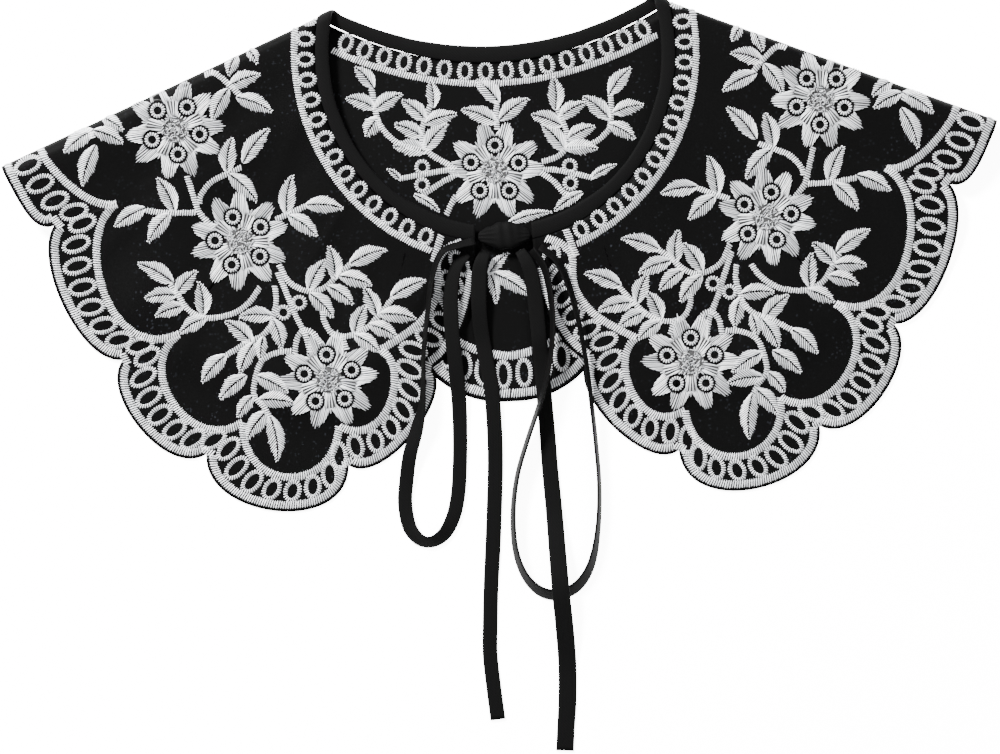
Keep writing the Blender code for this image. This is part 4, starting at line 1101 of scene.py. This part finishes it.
            # Tone 0 gives the pads the ramp's near-black end: painted shade in the grooves between the
            # stitches.
            tones.append(np.zeros(grid.shape[0] * 3))
            maps.append(np.zeros((grid.shape[0] * 3, 2)))
            offset += grid.shape[0] * 3
        made = quad_mesh(name, np.concatenate(vertices), np.concatenate(faces), np.concatenate(tones),
                         np.concatenate(maps))
        finish.dress(made)
        if nodes:
            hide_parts(*nodes)
        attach(made, "root")
        LOG.info("%s: %d stitches", name, count)
        return made


@dataclass
class FrontEmbroidery:
    """The embroidery of one front: border band, neck ladder, sprigs, rings and flowers.

    Attributes:
        plan: the collar's curves.
        half: which front it is.
        rail_width: width of the satin rails.
        hem_inset: distance of the outer rail's middle from the hem.
        oval_pitch: distance between two border ovals.
        ladder_offset: distance of the ladder's rail from the neckline.
        ladder_end_x: where the ladder ends before the bow.
    """

    plan: CollarPlan
    half: Half
    rail_width: float = 3.4
    hem_inset: float = 3.0
    oval_pitch: float = 9.1
    ladder_offset: float = 12.1
    ladder_end_x: float = 29.4

    def mirrored(self, points: np.ndarray) -> np.ndarray:
        """Right-side plan points brought to this half."""
        return np.asarray(points, dtype=float) * (self.half.value, 1.0)

    def border(self, finish: Finish) -> None:
        """Both rails and the ovals of the border band."""
        work = Embroidery(self.plan, rng=np.random.default_rng(21 + self.half.value))
        pairs = self.plan.scallops(FRONT_SCALLOPS, 90)
        pairs[0] = tuple(np.concatenate([line[:1] - INWARD * FOLD_REACH[1], line]) for line in pairs[0])
        pairs[-1] = (pairs[-1][0], respace(smooth_route(np.array(INNER_RAIL_END), 0.5), 90))
        before = None
        for edge, rail in pairs:
            outer = edge - sideways(edge) * self.hem_inset
            if before is not None:
                work.line(self.mirrored(np.stack([before, outer[0]])), self.rail_width, RAIL)
            before = outer[-1]
            work.line(self.mirrored(outer), self.rail_width, RAIL)
            work.line(self.mirrored(rail), self.rail_width, RAIL)
            middle = (outer + rail) / 2
            length = arc(middle)
            count = max(2, int(round(length[-1] / self.oval_pitch)))
            for k in range(count):
                place = (k + 0.5) / count * length[-1]
                a, b = at(rail, length, place), at(outer, length, place)
                span = np.linalg.norm(b - a) / 2 - self.rail_width / 2 + 0.5
                if span < 3.0:
                    continue
                long = min(span, 6.7)
                wide = min(3.95, length[-1] / count / 2 * 0.93)
                work.ring(self.mirrored((a + b) / 2), unit((b - a) * (self.half.value, 1.0)),
                          (long, wide), (long - 2.0, wide - 1.9), OVAL)
        work.build("border_" + self.half.name.lower(), finish)

    def ladder(self, finish: Finish) -> None:
        """The row of ovals below the binding, and the rail that closes it."""
        work = Embroidery(self.plan, rng=np.random.default_rng(31 + self.half.value))
        start = self.plan.solve(self.plan.front_neck, math.radians(-14.4), math.radians(20.0))
        end = math.acos(self.ladder_end_x / NECK_HALF_WIDTH) + 0.03
        neck = self.plan.front_neck(np.linspace(start - 0.06, end, 160))
        out = sideways(neck)
        work.line(self.mirrored(neck + out * self.ladder_offset), 2.9, RAIL)
        work.line(self.mirrored(smooth_route(np.array(LADDER_CAP), 0.5)), 3.2, RAIL)
        length = arc(neck)
        count = int(round(length[-1] / 8.3))
        for k in range(count):
            place = (k + 0.5) / count * length[-1]
            point, normal = at(neck, length, place), at(out, length, place)
            work.ring(self.mirrored(point + normal * 7.2), unit(self.mirrored(normal)), (4.3, 3.45),
                      (2.5, 1.55), OVAL)
        work.build("neck_ladder_" + self.half.name.lower(), finish)

    def sprigs(self, finish: Finish) -> None:
        """Stems, leaves and small rings between the flowers."""
        work = Embroidery(self.plan, rng=np.random.default_rng(41 + self.half.value))
        for points in FRONT_STEMS:
            work.stem(self.mirrored(points))
        for x0, y0, x1, y1 in FRONT_LEAVES:
            base, tip = self.mirrored((x0, y0)), self.mirrored((x1, y1))
            work.leaf(base, tip, bool(tip[0] > base[0]))
        for place in FRONT_RINGS:
            work.ring(self.mirrored(place), np.array([1.0, 0.0]), (3.5, 3.5), (1.75, 1.75), EYELET)
        work.build("sprigs_" + self.half.name.lower(), finish)

    def flowers(self, finish: Finish) -> None:
        """The three flowers of this front."""
        for name, x, y, first in FLOWERS:
            if name != "flower_back" and (x > 0) == (self.half is Half.RIGHT):
                work = Embroidery(self.plan, rng=np.random.default_rng(int(abs(x))))
                work.flower(np.array([x, y]), first)
                work.build("stitched_" + name, finish, name)

    def build(self, finish: Finish) -> None:
        """All of it."""
        self.border(finish)
        self.ladder(finish)
        self.sprigs(finish)
        self.flowers(finish)


@dataclass
class BackEmbroidery:
    """What shows of the embroidery on the inside of the back, through the neck opening.

    Attributes:
        plan: the collar's curves.
        ladder_offset: distance of the ladder's rail from the back neckline.
        oval_pitch: distance between two ovals of the ladder.
        hem_inset: distance of the hem rail's middle from the back's edge.
    """

    plan: CollarPlan
    ladder_offset: float = 12.8
    oval_pitch: float = 8.6
    hem_inset: float = 3.7

    def build(self, finish: Finish) -> None:
        """Ladder, sprigs, rings and the flower."""
        work = Embroidery(self.plan, on_back=True, rng=np.random.default_rng(51))
        neck = self.plan.back_neck(np.linspace(-66.0, 66.0, 200))
        down = -sideways(neck)
        work.line(neck + down * self.ladder_offset, 2.8, RAIL)
        length = arc(neck)
        count = int(round(length[-1] / self.oval_pitch))
        for k in range(count):
            place = (k + 0.5) / count * length[-1]
            point, normal = at(neck, length, place), at(down, length, place)
            work.ring(point + normal * 7.5, unit(normal), (4.6, 3.5), (2.8, 1.6), OVAL)
        for points in BACK_STEMS:
            work.stem(np.array(points))
        for x0, y0, x1, y1, width in BACK_LEAVES:
            work.leaf(np.array([x0, y0]), np.array([x1, y1]), x1 > x0, width)
        work.line(np.array(BACK_LINE), 1.2, STEM)
        self.hem(work)
        for place in BACK_RINGS:
            work.ring(np.array(place), np.array([1.0, 0.0]), (3.5, 3.5), (1.75, 1.75), EYELET)
        name, x, y, first = FLOWERS[-1]
        work.build("back_inside_embroidery", finish)
        bloom = Embroidery(self.plan, on_back=True, rng=np.random.default_rng(61))
        bloom.flower(np.array([x, y]), first)
        bloom.build("stitched_" + name, finish, name)


    def hem(self, work: Embroidery) -> None:
        """The border band of the back's middle scallop and of the one beside it on each side."""
        for half, first in ((Half.RIGHT, 6.2), (Half.LEFT, 2.8)):
            mirror = (half.value, 1.0)
            for edge, rail in self.plan.scallops(BACK_SCALLOPS, 90)[-2:]:
                outer = edge - sideways(edge) * self.hem_inset
                work.line(outer * mirror, 3.8, RAIL)
                work.line(rail * mirror, 3.6, RAIL)
                length = arc((outer + rail) / 2)
                for place in np.arange(length[-1] - first, 4.0, -9.0):
                    a, b = at(rail, length, place), at(outer, length, place)
                    work.ring((a + b) / 2 * mirror, unit((b - a) * mirror), (6.6, 3.85), (4.6, 1.95), OVAL)


@dataclass
class Binding:
    """The bias binding round the neckline, with a rounded section and a line of stitches.

    Attributes:
        plan: the collar's curves.
        width: width across.
        thick: full thickness.
    """

    plan: CollarPlan
    width: float = 7.3
    thick: float = 2.0

    def build(self, finish: Finish) -> None:
        """Makes the strip as one closed tube of sixteen-sided rings."""
        half = self.width / 2
        front, back = self.plan.panels(((-half, 0.0), (half, 0.0)))
        middle, normal = self.plan.full_ring(front, back, self.thick / 2)
        near, far = middle[:, 0], middle[:, 1]
        centre, across = (near + far) / 2, unit(far - near)
        lift = unit(normal.mean(axis=1))
        turn = 2 * math.pi * np.arange(20) / 20
        wide = np.sign(np.cos(turn)) * np.abs(np.cos(turn)) ** 0.55 * half
        high = np.sign(np.sin(turn)) * np.abs(np.sin(turn)) ** 0.7 * self.thick / 2
        dent = 1 - 0.14 * np.exp(-((wide - 2.6) / 0.5) ** 2)
        rings = (centre[:, None] + wide[None, :, None] * across[:, None]
                 + (high * dent)[None, :, None] * lift[:, None])
        rings[..., 2] = np.maximum(rings[..., 2], 0.0)
        made = tube("bias_binding", rings)
        finish.dress(made)
        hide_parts("neck_binding")
        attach(made, "root")


def tube(name: str, rings: np.ndarray) -> bpy.types.Object:
    """A closed tube through rings of equal count, its ends drawn to their middles."""
    count, sides = rings.shape[:2]
    first, last = rings[:1].mean(axis=1, keepdims=True), rings[-1:].mean(axis=1, keepdims=True)
    caps = np.concatenate([np.repeat(first, sides, axis=1), rings, np.repeat(last, sides, axis=1)])
    return quad_mesh(name, caps.reshape(-1, 3), grid_quads(count + 2, sides, closed=True))


@dataclass
class Tape:
    """One free length of the flat tie.

    Attributes:
        name: the piece's name.
        node: the solid it stands for.
        route: rows of x, y, height, width and tilt.
        far_end: what the far end is; not used.
        thick: the tape's thickness.
    """

    name: str
    node: str
    route: tuple
    far_end: str
    thick: float = 1.0

    def build(self, finish: Finish) -> None:
        rows = smooth_route(np.array(self.route), 2.0)
        centre, half, tilt = rows[:, :3], rows[:, 3:4] / 2, np.radians(rows[:, 4:5])
        along = unit(np.gradient(centre, axis=0))
        level = unit(np.cross((0.0, 0.0, 1.0), along))
        upright = np.cross(along, level)
        across = level * np.cos(tilt) + upright * np.sin(tilt)
        thick = np.cross(along, across) * self.thick / 2
        turn = 2 * math.pi * np.arange(14) / 14
        wide = np.sign(np.cos(turn)) * np.abs(np.cos(turn)) ** 0.35
        high = np.sign(np.sin(turn)) * np.abs(np.sin(turn)) ** 0.6
        rings = (centre[:, None] + (half * wide)[..., None] * across[:, None]
                 + high[None, :, None] * thick[:, None])
        rings[..., 2] = np.maximum(rings[..., 2], 0.02)
        made = tube(self.name, rings)
        finish.dress(made)
        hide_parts(self.node)
        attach(made, "root")


@dataclass
class Knot:
    """The bow's knot: gathered tape with pleats across it.

    Attributes:
        centre: its middle.
        half: its half sizes.
        box: exponent of its rounded box form.
        pleats: number of pleats across its width.
    """

    centre: tuple[float, float, float] = (0.3, -100.6, 4.6)
    half: tuple[float, float, float] = (11.6, 6.2, 3.0)
    box: float = 2.6
    pleats: int = 5

    def build(self, finish: Finish) -> None:
        """Makes the knot as a closed grid round its long axis."""
        columns, sides = 60, 40
        v = np.linspace(0.001, math.pi - 0.001, columns)
        u = 2 * math.pi * np.arange(sides) / sides
        direction = np.stack([np.outer(-np.cos(v), np.ones(sides)), np.outer(np.sin(v), np.cos(u)),
                              np.outer(np.sin(v), np.sin(u))], axis=-1)
        size = (np.abs(direction) ** self.box).sum(axis=-1) ** (-1 / self.box)
        shape = direction * size[..., None]
        x = shape[..., 0]
        y = shape[..., 1]
        wrap = np.exp(-((x - 0.08) / 0.46) ** 6)
        across = 0.5 + 0.5 * np.cos(x * math.pi * self.pleats + 0.9 * y)
        gathers = 0.5 + 0.5 * np.cos(y * math.pi * self.pleats * (0.7 + 0.5 * np.abs(x)))
        shape[..., 2] *= 0.8 + 0.2 * wrap - 0.14 * wrap * across - 0.2 * (1 - wrap) * gathers
        shape[..., 1] *= (0.84 + 0.16 * wrap - 0.05 * across) * (1 - 0.25 * x * x)
        points = np.array(self.centre) + shape * self.half
        made = tube("gathered_knot", points)
        finish.dress(made)
        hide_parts("bow_knot")
        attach(made, "root")


@dataclass
class Studio:
    """White table, soft light and the camera straight above.

    Attributes:
        height: the camera's height over the table.
        middle: point of the table in the picture's middle, in plan millimetres.
        view_width: width of the table that the picture shows.
        roll: the picture's turn, in degrees.
    """

    height: float = 1800.0
    middle: tuple[float, float] = (-4.44, -162.54)
    view_width: float = 440.0
    roll: float = -2.655

    def camera(self) -> None:
        """Looks straight down at the photograph's scale and turn."""
        data = bpy.data.cameras.new("camera")
        data.sensor_width = 36.0
        data.lens = 36.0 * self.height / self.view_width
        made = bpy.data.objects.new("camera", data)
        made.location = (self.middle[0] * MM, (self.middle[1] - ORIGIN_Y) * MM, self.height * MM)
        made.rotation_euler = (0.0, 0.0, math.radians(self.roll))
        bpy.context.scene.collection.objects.link(made)
        bpy.context.scene.camera = made

    def table(self) -> None:
        """A white surface that stays white under the lights."""
        size = 1500.0
        corners = size * np.array([(-1.0, -1.0, 0.0), (1.0, -1.0, 0.0), (1.0, 1.0, 0.0), (-1.0, 1.0, 0.0)])
        made = quad_mesh("table", corners - (0, 0, 0.02), np.array([[0, 1, 2, 3]]))
        finish = Finish("table_white", "#F4F4F4", 0.9, Specular_IOR_Level=0.1, Emission_Strength=10.0)
        finish.shader.inputs["Emission Color"].default_value = (1, 1, 1, 1)
        finish.dress(made)

    def light(self, name: str, place: tuple[float, float, float], size: float, power: float) -> None:
        """An area light that points at the collar's middle, at place in metres."""
        data = bpy.data.lights.new(name, "AREA")
        data.size = size
        data.energy = power
        made = bpy.data.objects.new(name, data)
        made.location = place
        x, y, z = place
        made.rotation_euler = (math.atan2(math.hypot(x, y), z), 0.0, math.atan2(y, x) + math.pi / 2)
        bpy.context.scene.collection.objects.link(made)

    def build(self) -> None:
        """Camera, table, lights and world."""
        self.camera()
        self.table()
        self.light("key", (-0.8, 1.0, 1.1), 0.35, 250.0)
        self.light("fill", (0.9, -0.5, 1.5), 1.0, 32.0)
        world = bpy.data.worlds.new("studio")
        world.use_nodes = True
        world.node_tree.nodes["Background"].inputs["Color"].default_value = (1, 1, 1, 1)
        world.node_tree.nodes["Background"].inputs["Strength"].default_value = 1.6
        bpy.context.scene.world = world


def main() -> None:
    """Builds the picture in order: camera, tapes, cloth, binding, knot and embroidery."""
    logging.basicConfig(level=logging.INFO, format="%(name)s: %(message)s")
    Studio().build()
    organza, binding, thread = make_organza(), make_binding_cloth(), make_thread()
    Tape("tape_end_left", "tie_end_left", TIE_END_LEFT, "bare").build(binding)
    Tape("tape_end_right", "tie_end_right", TIE_END_RIGHT, "bare").build(binding)
    Tape("tape_loop_left", "bow_loop_left", LOOP_LEFT, "object").build(binding)
    Tape("tape_loop_right", "bow_loop_right", LOOP_RIGHT, "object").build(binding)
    plan = CollarPlan()
    ClothShell(plan).build(organza)
    Binding(plan).build(binding)
    Knot().build(binding)
    for half in Half:
        FrontEmbroidery(plan, half).build(thread)
    BackEmbroidery(plan).build(thread)


if __name__ == "__main__":
    main()
